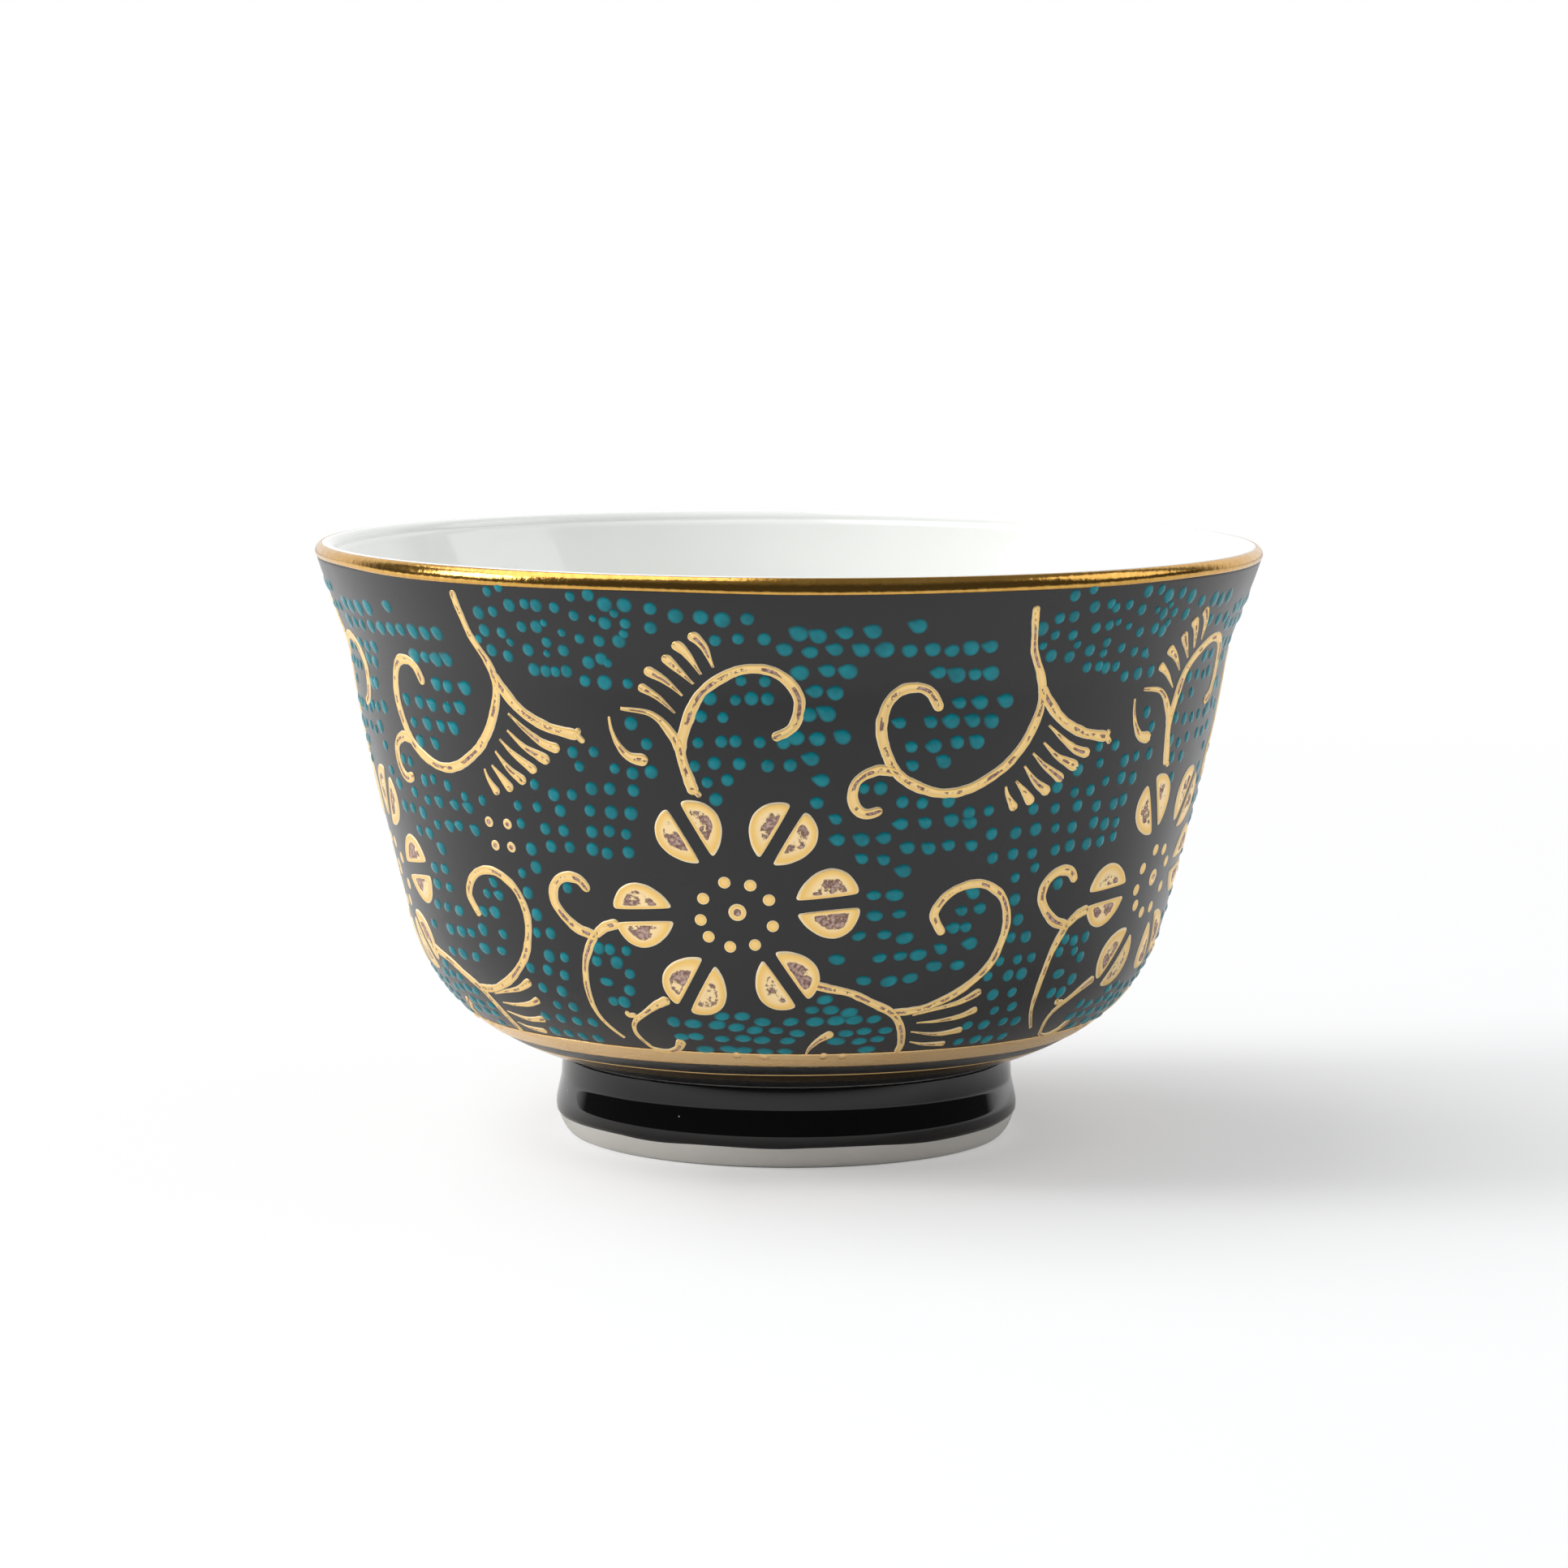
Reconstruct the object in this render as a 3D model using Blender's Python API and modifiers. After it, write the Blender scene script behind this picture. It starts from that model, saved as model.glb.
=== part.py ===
"""A handleless porcelain teacup on a turned foot, black enamelled outside, with gilded rim, bands and scrolls.

The bowl and its foot ring are turned bodies. Every coat on them is a thin turned shell that follows the same
wall line. The painting is drawn flat, as strokes and petals, and is then wrapped round the wall five times.
Metres, +Z up, the origin on the table under the middle of the cup. -Y is the side with a flower to the front.
"""
import math

import bmesh
import bpy
from mathutils import Matrix, Vector
from mathutils.geometry import interpolate_bezier

# Overall sizes of the cup, measured on the outside of its coats
RIM_RADIUS = 0.0450
CUP_HEIGHT = 0.0568
THROAT_RADIUS = 0.0415
THROAT_HEIGHT = 0.0455
BELLY_RADIUS = 0.0363
BELLY_HEIGHT = 0.0220
NECK_RADIUS = 0.0213
FOOT_HEIGHT = 0.0077

# How far the wall line's curves lean away from their knots, outwards and upwards
HEEL_LEAN = (0.0080, 0.0024)
BELLY_LEAN = (0.0020, 0.0081)
THROAT_LEAN = (0.0011, 0.0075)
FLARE_LEAN = (0.0014, 0.0045)
FLARE_START = 0.4

# The bowl's clay
WALL_THICKNESS = 0.0026
FLOOR_THICKNESS = 0.0028
LIP_THICKNESS = 0.0019
LIP_ROUND = 0.0009

# The foot ring
FOOT_RADIUS = 0.0221
FOOT_BULGE_HEIGHT = 0.0024
FOOT_BASE_DRAW = 0.0015
FOOT_LAND = 0.0013
FOOT_RECESS_DRAW = 0.0009
FOOT_RECESS_ROUND = 0.0008

# Coats: how thick each one is and where it starts and stops, measured along the wall line from the foot
COAT_THICKNESS = 0.0004
GILT_THICKNESS = 0.0003
FIT_GAP = 0.00012
GLAZE_EDGE_HEIGHT = 0.0016
HEEL_LINE_START = 0.0032
HEEL_LINE_WIDTH = 0.0026
GOLD_BAND_START = 0.0080
GOLD_BAND_WIDTH = 0.00265
LIP_GOLD_DROP = 0.0007

# The painting
REPEATS = 5
FIRST_FLOWER_ANGLE = math.radians(-7.0)
STROKE_WIDTH = 0.00095
STROKE_CREST = 0.00055
STROKE_HEIGHT = 0.00035
SEAT_GAP = 0.00016
LAP = 0.00003
PETALS = 6
PETAL_START = 0.0057
PETAL_LENGTH = 0.0059
PETAL_WIDTH = 0.0024
PETAL_SPLIT = 0.0012
PETAL_ROOT_COVER = 0.0001
SEED_RADIUS = 0.0009

# Facets
STEPS = 28
HEEL_PARTS = 8
WALL_PARTS = 4
LIP_PARTS = 3
ARC_PARTS = 3
CURVE_PARTS = 2
WRAP_STEP = 0.0036
WELD = 0.00001

# The painting's strokes, as points of (degrees from the flower, hundredths of the painted field's height).
# A scroll that grows from a petal starts inside that petal, so its first stroke has no point there.
FLOWER_HEIGHT = 33.5
HANGING_STROKES = [
    [(36.5, 96.5), (37.5, 87.5), (40, 77.5), (38, 68.5), (31, 59.5), (25.5, 59), (20, 64), (18.5, 72.5),
     (21, 79.5), (25, 78.5), (26, 75.5)],
    [(20.5, 63.5), (18, 63.5), (15.5, 60), (16, 56), (19, 55.5)],
    [(39.5, 79), (42, 75), (46, 70.5), (51.5, 68)],
]
SPROUT_STROKES = [
    [(-5.5, 59), (-6.5, 68), (-3.5, 79.5), (3, 84.5), (8, 79.5), (8, 73), (5, 70.5)],
    [(-6.3, 67), (-8, 72), (-11, 75), (-14, 75)],
]
RIGHT_STROKES = [
    [(16, 16.5), (23, 11.5), (26, 4), (26, 1.2)],
    [(22.5, 12.2), (29, 13.5), (36, 19), (39.5, 29.5), (34, 39.5), (28.5, 36.5), (29.5, 29)],
]
LEFT_STROKES = [
    [(-21.5, 26.7), (-24, 15), (-23.2, 7.5), (-21, 3.5)],
    [(-21, 27), (-26, 29.5), (-27, 36.5), (-23.5, 39.5), (-21.5, 37)],
]
BOTTOM_STROKES = [
    [(-16.5, 9), (-17.5, 3.5), (-14, 1.6), (-10.5, 3.5)],
]
STROKE_TIP = 0.55

# The petals are counted from the one on the right of the flower. Three half petals have a scroll: each is given
# by its petal, its half, and where the scroll starts in it, in shares of its length and of its width.
LOWER_HALF, UPPER_HALF = -1, 1
RIGHT_PETAL = (5, UPPER_HALF, 0.64, 0.65)
LEFT_PETAL = (3, UPPER_HALF, 0.90, 0.35)
BOTTOM_PETAL = (4, LOWER_HALF, 0.80, 0.60)
PETAL_TURN = math.radians(3.0)
PETAL_CROWN = 0.55

for old in list(bpy.data.objects):
    bpy.data.objects.remove(old, do_unlink=True)

PARTS = bpy.data.collections.new("teacup")
bpy.context.scene.collection.children.link(PARTS)
TOOLS = bpy.data.collections.new("teacup_tools")
bpy.context.scene.collection.children.link(TOOLS)


def finish(name, color, roughness, metallic=0.0):
    """One Principled material with its colour, roughness and metallic value."""
    material = bpy.data.materials.new(name)
    material.use_nodes = True
    shader = material.node_tree.nodes["Principled BSDF"]
    shader.inputs["Base Color"].default_value = (*color, 1.0)
    shader.inputs["Roughness"].default_value = roughness
    shader.inputs["Metallic"].default_value = metallic
    return material


WHITE_PORCELAIN = finish("white_porcelain", (0.86, 0.86, 0.84), 0.12)
BARE_PORCELAIN = finish("bare_porcelain", (0.72, 0.71, 0.69), 0.55)
BLACK_ENAMEL = finish("black_enamel", (0.022, 0.022, 0.024), 0.38)
BLACK_GLAZE = finish("black_glaze", (0.010, 0.009, 0.010), 0.06)
BRIGHT_GOLD = finish("bright_gold", (0.78, 0.50, 0.16), 0.14, 1.0)
SATIN_GOLD = finish("satin_gold", (0.68, 0.45, 0.20), 0.32, 1.0)


def curve_points(start, start_lean, end, end_lean, parts):
    """Points along one smooth stretch: it leaves start along start_lean and arrives at end along end_lean."""
    first, last = Vector(start), Vector(end)
    return interpolate_bezier(first, first + Vector(start_lean), last - Vector(end_lean), last, parts + 1)


def wall_line():
    """The cup's outer side as (radius, height) points, from the foot's neck up to the round of the lip."""
    neck = (NECK_RADIUS, FOOT_HEIGHT)
    belly = (BELLY_RADIUS, BELLY_HEIGHT)
    throat = (THROAT_RADIUS, THROAT_HEIGHT)
    lip = (RIM_RADIUS, CUP_HEIGHT - LIP_ROUND)
    flare = Vector(THROAT_LEAN) * FLARE_START
    points = curve_points(neck, HEEL_LEAN, belly, BELLY_LEAN, HEEL_PARTS)
    points += curve_points(belly, BELLY_LEAN, throat, THROAT_LEAN, WALL_PARTS)[1:]
    points += curve_points(throat, flare, lip, FLARE_LEAN, LIP_PARTS)[1:]
    return points


def outward_normals(points):
    """The direction out of the wall at each point of a line that runs upwards."""
    normals = []
    for index in range(len(points)):
        along = points[min(index + 1, len(points) - 1)] - points[max(index - 1, 0)]
        normals.append(Vector((along.y, -along.x)).normalized())
    return normals


WALL = wall_line()
WALL_OUT = outward_normals(WALL)
WALL_RUN = [0.0]
for lower, upper in zip(WALL, WALL[1:]):
    WALL_RUN.append(WALL_RUN[-1] + (upper - lower).length)
WALL_LENGTH = WALL_RUN[-1]


def on_wall(run, proud):
    """(radius, height) at a distance along the wall line, standing proud of it (or under it, if negative)."""
    index = 0
    while index < len(WALL) - 2 and WALL_RUN[index + 1] < run:
        index += 1
    share = (run - WALL_RUN[index]) / (WALL_RUN[index + 1] - WALL_RUN[index])
    spot = WALL[index].lerp(WALL[index + 1], share)
    out = WALL_OUT[index].lerp(WALL_OUT[index + 1], share).normalized()
    return spot + out * proud


def wall_stretch(start, end, proud):
    """The wall line between two runs, from the upper end down, standing proud of it."""
    runs = [start] + [run for run in WALL_RUN if start + WELD < run < end - WELD] + [end]
    return [on_wall(run, proud) for run in reversed(runs)]


def lip_arc(inset, start, end):
    """The round of the lip, between two angles in degrees from the outer side (0) over the crest (90)."""
    middle = Vector((RIM_RADIUS - LIP_THICKNESS / 2, CUP_HEIGHT - LIP_ROUND))
    points = []
    for step in range(ARC_PARTS + 1):
        angle = math.radians(start + (end - start) * step / ARC_PARTS)
        reach = Vector((LIP_THICKNESS / 2 - inset, LIP_ROUND - inset))
        points.append(middle + Vector((reach.x * math.cos(angle), reach.y * math.sin(angle))))
    return points


def into_parts(name, mesh, material):
    """Adds a mesh to the teacup as a named part."""
    part = bpy.data.objects.new(name, mesh)
    mesh.materials.clear()
    mesh.materials.append(material)
    PARTS.objects.link(part)
    return part


def turned(name, profile, material, closed=True):
    """A turned body: the profile runs down its outer side first, and a Screw modifier spins it."""
    mesh = bpy.data.meshes.new(name)
    edges = [(index, index + 1) for index in range(len(profile) - 1)]
    if closed:
        edges.append((len(profile) - 1, 0))
    mesh.from_pydata([(point[0], 0.0, point[1]) for point in profile], edges, [])
    part = into_parts(name, mesh, material)
    screw = part.modifiers.new("turn", "SCREW")
    screw.steps = STEPS
    screw.render_steps = STEPS
    screw.use_merge_vertices = True
    screw.merge_threshold = WELD
    screw.use_smooth_shade = True
    return part


UNDER_COAT = COAT_THICKNESS + FIT_GAP
LIP_GOLD_START = WALL_LENGTH - LIP_GOLD_DROP


def inner_line():
    """The inside of the bowl, from the lip down to the middle of its floor."""
    floor = FOOT_HEIGHT + FLOOR_THICKNESS
    throat_run = WALL_RUN[HEEL_PARTS + WALL_PARTS]
    points = []
    for run in reversed(WALL_RUN[1:]):
        thinning = max(0.0, (run - throat_run) / (WALL_LENGTH - throat_run))
        thickness = WALL_THICKNESS + (LIP_THICKNESS - WALL_THICKNESS) * thinning
        spot = on_wall(run, -thickness)
        if spot.y > floor + FLOOR_THICKNESS / 4:
            points.append(spot)
    points[0] = Vector((RIM_RADIUS - LIP_THICKNESS, CUP_HEIGHT - LIP_ROUND))
    points.append(Vector((points[-1].x / 2, floor)))
    points.append(Vector((0.0, floor)))
    return points


def porcelain_bowl():
    """The thrown bowl: a white inside, a round lip, and a flat seat underneath for the foot ring."""
    profile = list(reversed(inner_line()))
    profile += lip_arc(0.0, 180.0, 90.0)[1:-1]
    profile += lip_arc(UNDER_COAT, 90.0, 0.0)[:-1]
    profile += wall_stretch(0.0, WALL_LENGTH, -UNDER_COAT)
    profile.append(Vector((profile[-1].x, FOOT_HEIGHT)))
    profile.append(Vector((0.0, FOOT_HEIGHT)))
    return turned("porcelain_bowl", profile, WHITE_PORCELAIN, closed=False)


def foot_line(parts):
    """The foot's outer side as (radius, height) points, from the neck down over the bulge to the land."""
    half = (FOOT_HEIGHT - FOOT_BULGE_HEIGHT) / 2
    neck = (NECK_RADIUS, FOOT_HEIGHT)
    bulge = (FOOT_RADIUS, FOOT_BULGE_HEIGHT)
    land = (FOOT_RADIUS - FOOT_BASE_DRAW, 0.0)
    points = curve_points(neck, (0.0, -half), bulge, (0.0, -half), parts)
    base_lean = (-FOOT_BASE_DRAW / 2, 0.0)
    points += curve_points(bulge, (0.0, -FOOT_BULGE_HEIGHT / 2), land, base_lean, parts)[1:]
    return points


def on_foot(height):
    """The foot's outer radius at a height."""
    line = foot_line(ARC_PARTS)
    for upper, lower in zip(line, line[1:]):
        if lower.y <= height <= upper.y:
            return lower.x + (upper.x - lower.x) * (height - lower.y) / (upper.y - lower.y)
    return line[0].x


FOOT_TOP = FOOT_HEIGHT - FIT_GAP


def glazed_foot_line(inset):
    """The stretch of the foot that the glaze covers, from its top down to the dipped edge."""
    top = [Vector((on_foot(FOOT_TOP) - inset, FOOT_TOP))]
    middle = [point - Vector((inset, 0.0)) for point in foot_line(ARC_PARTS)
              if GLAZE_EDGE_HEIGHT + WELD < point.y < FOOT_TOP - WELD]
    edge = [Vector((on_foot(GLAZE_EDGE_HEIGHT) - inset, GLAZE_EDGE_HEIGHT))]
    return top + middle + edge


def foot_ring():
    """The turned foot: white and bare at its base, and set back above that for the coat of glaze."""
    step = GLAZE_EDGE_HEIGHT - FIT_GAP
    profile = glazed_foot_line(UNDER_COAT)
    profile[-1] = Vector((profile[-1].x, step))
    profile.append(Vector((on_foot(step), step)))
    profile += [point for point in foot_line(ARC_PARTS) if point.y < step - WELD]
    land = FOOT_RADIUS - FOOT_BASE_DRAW - FOOT_LAND
    recess = land - FOOT_RECESS_DRAW
    profile.append(Vector((land, 0.0)))
    profile.append(Vector((recess, FOOT_RECESS_ROUND)))
    profile.append(Vector((recess, FOOT_TOP)))
    return turned("foot_ring", profile, BARE_PORCELAIN)


def shell_profile(start, end, proud, thickness):
    """A thin coat on the wall line: down its outer side, then back up its inner side."""
    outer = wall_stretch(start, end, proud)
    inner = wall_stretch(start, end, proud - thickness)
    return outer + list(reversed(inner))


def foot_glaze():
    """The black glaze on the foot, dipped to just short of the base."""
    profile = glazed_foot_line(0.0) + list(reversed(glazed_foot_line(COAT_THICKNESS)))
    return turned("foot_glaze", profile, BLACK_GLAZE)


def rim_gilding():
    """The gilt lip: from the crest down over the outside."""
    outer = lip_arc(0.0, 90.0, 0.0)[:-1] + wall_stretch(LIP_GOLD_START, WALL_LENGTH, 0.0)
    inner = lip_arc(COAT_THICKNESS, 90.0, 0.0)[:-1] + wall_stretch(LIP_GOLD_START, WALL_LENGTH, -COAT_THICKNESS)
    return turned("rim_gilding", outer + list(reversed(inner)), BRIGHT_GOLD)


def gold_ring(name, start, width):
    """A gilt band laid over the enamel."""
    profile = shell_profile(start, start + width, FIT_GAP + GILT_THICKNESS, GILT_THICKNESS)
    return turned(name, profile, SATIN_GOLD)


PATTERN_RADIUS = (BELLY_RADIUS + THROAT_RADIUS) / 2
FIELD_START = GOLD_BAND_START + GOLD_BAND_WIDTH
FIELD_LENGTH = LIP_GOLD_START - FIELD_START


def paper(spot):
    """A point of the painting, in degrees and hundredths, as metres on the flat paper."""
    return Vector((math.radians(spot[0]) * PATTERN_RADIUS, spot[1] / 100 * FIELD_LENGTH, 0.0))


FLOWER_CENTRE = paper((0.0, FLOWER_HEIGHT))


def as_mesh(guide):
    """Makes a curve object's evaluated shape a mesh with welded caps, and removes the curve."""
    graph = bpy.context.evaluated_depsgraph_get()
    mesh = bpy.data.meshes.new_from_object(guide.evaluated_get(graph))
    drawn = bmesh.new()
    drawn.from_mesh(mesh)
    bmesh.ops.remove_doubles(drawn, verts=drawn.verts, dist=WELD)
    bmesh.ops.recalc_face_normals(drawn, faces=drawn.faces)
    drawn.to_mesh(mesh)
    drawn.free()
    bpy.data.objects.remove(guide, do_unlink=True)
    return mesh


def tool(name, data):
    """An object that only helps to make a part."""
    helper = bpy.data.objects.new(name, data)
    helper.hide_render = True
    helper.display_type = "WIRE"
    TOOLS.objects.link(helper)
    return helper


def stroke_section():
    """The trailed line's section: flat underneath, with sloping sides and a narrower crest."""
    data = bpy.data.curves.new("stroke_section", "CURVE")
    data.dimensions = "2D"
    data.fill_mode = "NONE"
    spline = data.splines.new("POLY")
    corners = [(-STROKE_WIDTH / 2, 0.0), (STROKE_WIDTH / 2, 0.0),
               (STROKE_CREST / 2, STROKE_HEIGHT), (-STROKE_CREST / 2, STROKE_HEIGHT)]
    spline.points.add(len(corners) - 1)
    for point, corner in zip(spline.points, corners):
        point.co = (*corner, 0.0, 1.0)
    spline.use_cyclic_u = True
    return tool("stroke_section", data)


SECTION = stroke_section()


def stroke(points, lift):
    """One brush stroke on the flat paper, thinner at both ends, as a closed mesh."""
    data = bpy.data.curves.new("stroke", "CURVE")
    data.dimensions = "3D"
    data.twist_mode = "Z_UP"
    data.bevel_mode = "OBJECT"
    data.bevel_object = SECTION
    data.use_fill_caps = True
    data.resolution_u = CURVE_PARTS
    spline = data.splines.new("BEZIER")
    spline.bezier_points.add(len(points) - 1)
    for index, (knot, point) in enumerate(zip(spline.bezier_points, points)):
        knot.co = point + Vector((0.0, 0.0, lift))
        knot.handle_left_type = "AUTO"
        knot.handle_right_type = "AUTO"
        knot.radius = STROKE_TIP if index in (0, len(points) - 1) else 1.0
    return as_mesh(tool("stroke", data))


def petal_place(number):
    """Turns a petal that lies to the right of the middle into its place in the flower, on the flat paper."""
    turn = PETAL_TURN + math.tau * number / PETALS
    return Matrix.Translation(FLOWER_CENTRE) @ Matrix.Rotation(turn, 4, "Z")


def petal_spot(number, half, along, across):
    """A point in a half petal on the flat paper, in shares of its length and of its width."""
    reach = PETAL_START + PETAL_LENGTH * along
    side = PETAL_SPLIT / 2 + PETAL_WIDTH * across
    return petal_place(number) @ Vector((reach, side * half, 0.0))


def half_petal(number, half, base, top):
    """Half of a petal on the flat paper: straight along the split, round on its outer side."""
    data = bpy.data.curves.new("half_petal", "CURVE")
    data.dimensions = "2D"
    data.fill_mode = "BOTH"
    data.extrude = (top - base) / 2
    data.resolution_u = CURVE_PARTS
    near = PETAL_SPLIT / 2
    outline = [(PETAL_START, near), (PETAL_START + PETAL_LENGTH, near),
               (PETAL_START + PETAL_LENGTH * PETAL_CROWN, near + PETAL_WIDTH)]
    spline = data.splines.new("BEZIER")
    spline.bezier_points.add(len(outline) - 1)
    for point, spot in zip(spline.bezier_points, outline):
        point.co = (spot[0], spot[1] * half, 0.0)
        point.handle_left_type = "FREE"
        point.handle_right_type = "FREE"
        point.handle_left = point.co
        point.handle_right = point.co
    spline.use_cyclic_u = True
    start, end, crown = spline.bezier_points
    belly = Vector((PETAL_LENGTH * 0.33, 0.0, 0.0))
    swell = Vector((0.0, PETAL_WIDTH * 0.6 * half, 0.0))
    start.handle_left = start.co + swell
    end.handle_right = end.co + swell
    crown.handle_left = crown.co + belly
    crown.handle_right = crown.co - belly
    guide = tool("half_petal", data)
    mesh = as_mesh(guide)
    mesh.transform(Matrix.Translation((0.0, 0.0, (top + base) / 2)) @ petal_place(number))
    return mesh


def united(name, meshes):
    """One closed body out of several that lap over each other."""
    base = tool(name, meshes[0])
    for other in meshes[1:]:
        lapped = tool(name + "_lap", other)
        union = base.modifiers.new("union", "BOOLEAN")
        union.operation = "UNION"
        union.object = lapped
        graph = bpy.context.evaluated_depsgraph_get()
        joined = bpy.data.meshes.new_from_object(base.evaluated_get(graph))
        base.modifiers.clear()
        base.data = joined
        bpy.data.objects.remove(lapped, do_unlink=True)
    mesh = base.data
    bpy.data.objects.remove(base, do_unlink=True)
    return mesh


def scored(mesh):
    """Cuts a flat piece along a grid, so that it can bend, and splits its faces into triangles."""
    sheet = bmesh.new()
    sheet.from_mesh(mesh)
    for axis in (Vector((1.0, 0.0, 0.0)), Vector((0.0, 1.0, 0.0))):
        reach = [vert.co.dot(axis) for vert in sheet.verts]
        line = math.floor(min(reach) / WRAP_STEP) + 1
        while line * WRAP_STEP < max(reach):
            faces = sheet.verts[:] + sheet.edges[:] + sheet.faces[:]
            bmesh.ops.bisect_plane(sheet, geom=faces, dist=WELD / 10, plane_co=axis * line * WRAP_STEP,
                                   plane_no=axis)
            line += 1
    bmesh.ops.triangulate(sheet, faces=sheet.faces)
    sheet.to_mesh(mesh)
    sheet.free()
    return mesh


def wrapped(mesh, turn, proud):
    """A copy of a flat piece, bent round the wall and standing proud of it."""
    bent = mesh.copy()
    for vert in bent.vertices:
        across, along, height = vert.co
        radius, level = on_wall(FIELD_START + along, proud + height)
        angle = turn + across / PATTERN_RADIUS
        vert.co = (radius * math.sin(angle), -radius * math.cos(angle), level)
    return bent


def triangulated(mesh):
    """Splits a mesh's faces into triangles, so that bending keeps them flat."""
    sheet = bmesh.new()
    sheet.from_mesh(mesh)
    bmesh.ops.triangulate(sheet, faces=sheet.faces)
    sheet.to_mesh(mesh)
    sheet.free()
    return mesh


def scroll(strokes, petal=None):
    """One gilt scroll on the flat paper: its strokes, and the half petal that it grows from."""
    lines = [[paper(spot) for spot in spots] for spots in strokes]
    if petal:
        lines[0].insert(0, petal_spot(*petal))
    meshes = [stroke(points, LAP * index) for index, points in enumerate(lines)]
    if petal:
        meshes.append(scored(half_petal(*petal[:2], LAP * len(lines), STROKE_HEIGHT + LAP)))
    return triangulated(united("scroll", meshes))


SCROLLS = {
    "hanging_scroll": (HANGING_STROKES, None),
    "sprout_scroll": (SPROUT_STROKES, None),
    "right_branch": (RIGHT_STROKES, RIGHT_PETAL),
    "left_branch": (LEFT_STROKES, LEFT_PETAL),
    "bottom_curl": (BOTTOM_STROKES, BOTTOM_PETAL),
}


def flower_turns():
    """Where each repeat of the painting stands round the cup."""
    return [FIRST_FLOWER_ANGLE + math.tau * repeat / REPEATS for repeat in range(REPEATS)]


def gilt_scrolls():
    """Every scroll of the painting, bent round the wall once for each repeat."""
    for name, (strokes, petal) in SCROLLS.items():
        flat = scroll(strokes, petal)
        for repeat, turn in enumerate(flower_turns()):
            into_parts(f"{name}_{repeat + 1}", wrapped(flat, turn, SEAT_GAP), SATIN_GOLD)


def seed(base, top):
    """The round seed in the middle of a flower, on the flat paper."""
    knob = bmesh.new()
    bmesh.ops.create_cone(knob, cap_ends=True, segments=8, radius1=SEED_RADIUS, radius2=SEED_RADIUS * 0.6,
                          depth=top - base)
    bmesh.ops.translate(knob, verts=knob.verts, vec=FLOWER_CENTRE + Vector((0.0, 0.0, (top + base) / 2)))
    mesh = bpy.data.meshes.new("seed")
    knob.to_mesh(mesh)
    knob.free()
    return triangulated(mesh)


def bowl_enamel():
    """The black coat, with the seeds and the half petals that no scroll grows from in relief on it."""
    coat = turned("bowl_enamel", shell_profile(FIT_GAP * 2, LIP_GOLD_START - FIT_GAP, 0.0, COAT_THICKNESS),
                  BLACK_ENAMEL)
    root = PETAL_ROOT_COVER - COAT_THICKNESS
    grown = [petal[:2] for _, petal in SCROLLS.values() if petal]
    flats = [seed(root, STROKE_HEIGHT)]
    for number in range(PETALS):
        for half in (LOWER_HALF, UPPER_HALF):
            if (number, half) not in grown:
                flats.append(scored(half_petal(number, half, root, STROKE_HEIGHT)))
    relief = bmesh.new()
    for turn in flower_turns():
        for flat in flats:
            relief.from_mesh(wrapped(flat, turn, 0.0))
    mesh = bpy.data.meshes.new("petal_relief")
    relief.to_mesh(mesh)
    relief.free()
    union = coat.modifiers.new("petals", "BOOLEAN")
    union.operation = "UNION"
    union.object = tool("petal_relief", mesh)


porcelain_bowl()
foot_ring()
bowl_enamel()
foot_glaze()
rim_gilding()
gold_ring("gold_band", GOLD_BAND_START, GOLD_BAND_WIDTH)
gold_ring("heel_gold_line", HEEL_LINE_START, HEEL_LINE_WIDTH)
gilt_scrolls()
bpy.data.objects.remove(SECTION, do_unlink=True)
print("teacup:", len(PARTS.objects), "parts, wall line", round(WALL_LENGTH * 1000, 2), "mm, painted field",
      round(FIELD_LENGTH * 1000, 2), "mm")
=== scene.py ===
# %% [markdown]
# # A black and gold porcelain teacup
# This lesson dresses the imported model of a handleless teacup. On the real cup a white porcelain bowl and
# foot are coated in black, and a flower pattern is trailed on in raised enamel, gilded, and set in a
# ground of teal dots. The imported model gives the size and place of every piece, and each piece here stands
# for one of its nodes or lies on one.

# %% Load the frame
import bisect
import random
from functools import partial
from math import cos, pi, radians, sin, sqrt, tau

import bmesh
import bpy
from mathutils import Matrix, Vector, noise
from mathutils.geometry import interpolate_bezier
from mathutils.kdtree import KDTree


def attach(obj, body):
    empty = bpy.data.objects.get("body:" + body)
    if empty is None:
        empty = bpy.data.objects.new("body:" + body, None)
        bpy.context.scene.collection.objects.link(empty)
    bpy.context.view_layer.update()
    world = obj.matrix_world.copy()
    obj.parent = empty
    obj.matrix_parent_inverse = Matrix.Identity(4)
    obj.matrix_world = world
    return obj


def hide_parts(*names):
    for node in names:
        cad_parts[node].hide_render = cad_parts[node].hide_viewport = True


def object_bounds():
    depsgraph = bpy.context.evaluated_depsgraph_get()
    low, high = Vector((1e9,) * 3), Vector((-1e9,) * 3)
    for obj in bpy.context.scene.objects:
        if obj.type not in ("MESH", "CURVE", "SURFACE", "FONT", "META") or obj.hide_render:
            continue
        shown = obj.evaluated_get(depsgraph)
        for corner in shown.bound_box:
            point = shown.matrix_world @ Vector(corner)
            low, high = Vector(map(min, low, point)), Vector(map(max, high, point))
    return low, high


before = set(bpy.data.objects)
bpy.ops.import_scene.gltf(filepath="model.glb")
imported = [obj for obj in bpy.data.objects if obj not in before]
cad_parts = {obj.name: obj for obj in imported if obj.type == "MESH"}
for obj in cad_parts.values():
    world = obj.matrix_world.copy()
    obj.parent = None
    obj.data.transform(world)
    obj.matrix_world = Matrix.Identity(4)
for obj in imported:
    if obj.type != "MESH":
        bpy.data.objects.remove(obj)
cad_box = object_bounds()
MM = 0.001
RIM_RADIUS = cad_box[1].x
CUP_HEIGHT = cad_box[1].z
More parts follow.
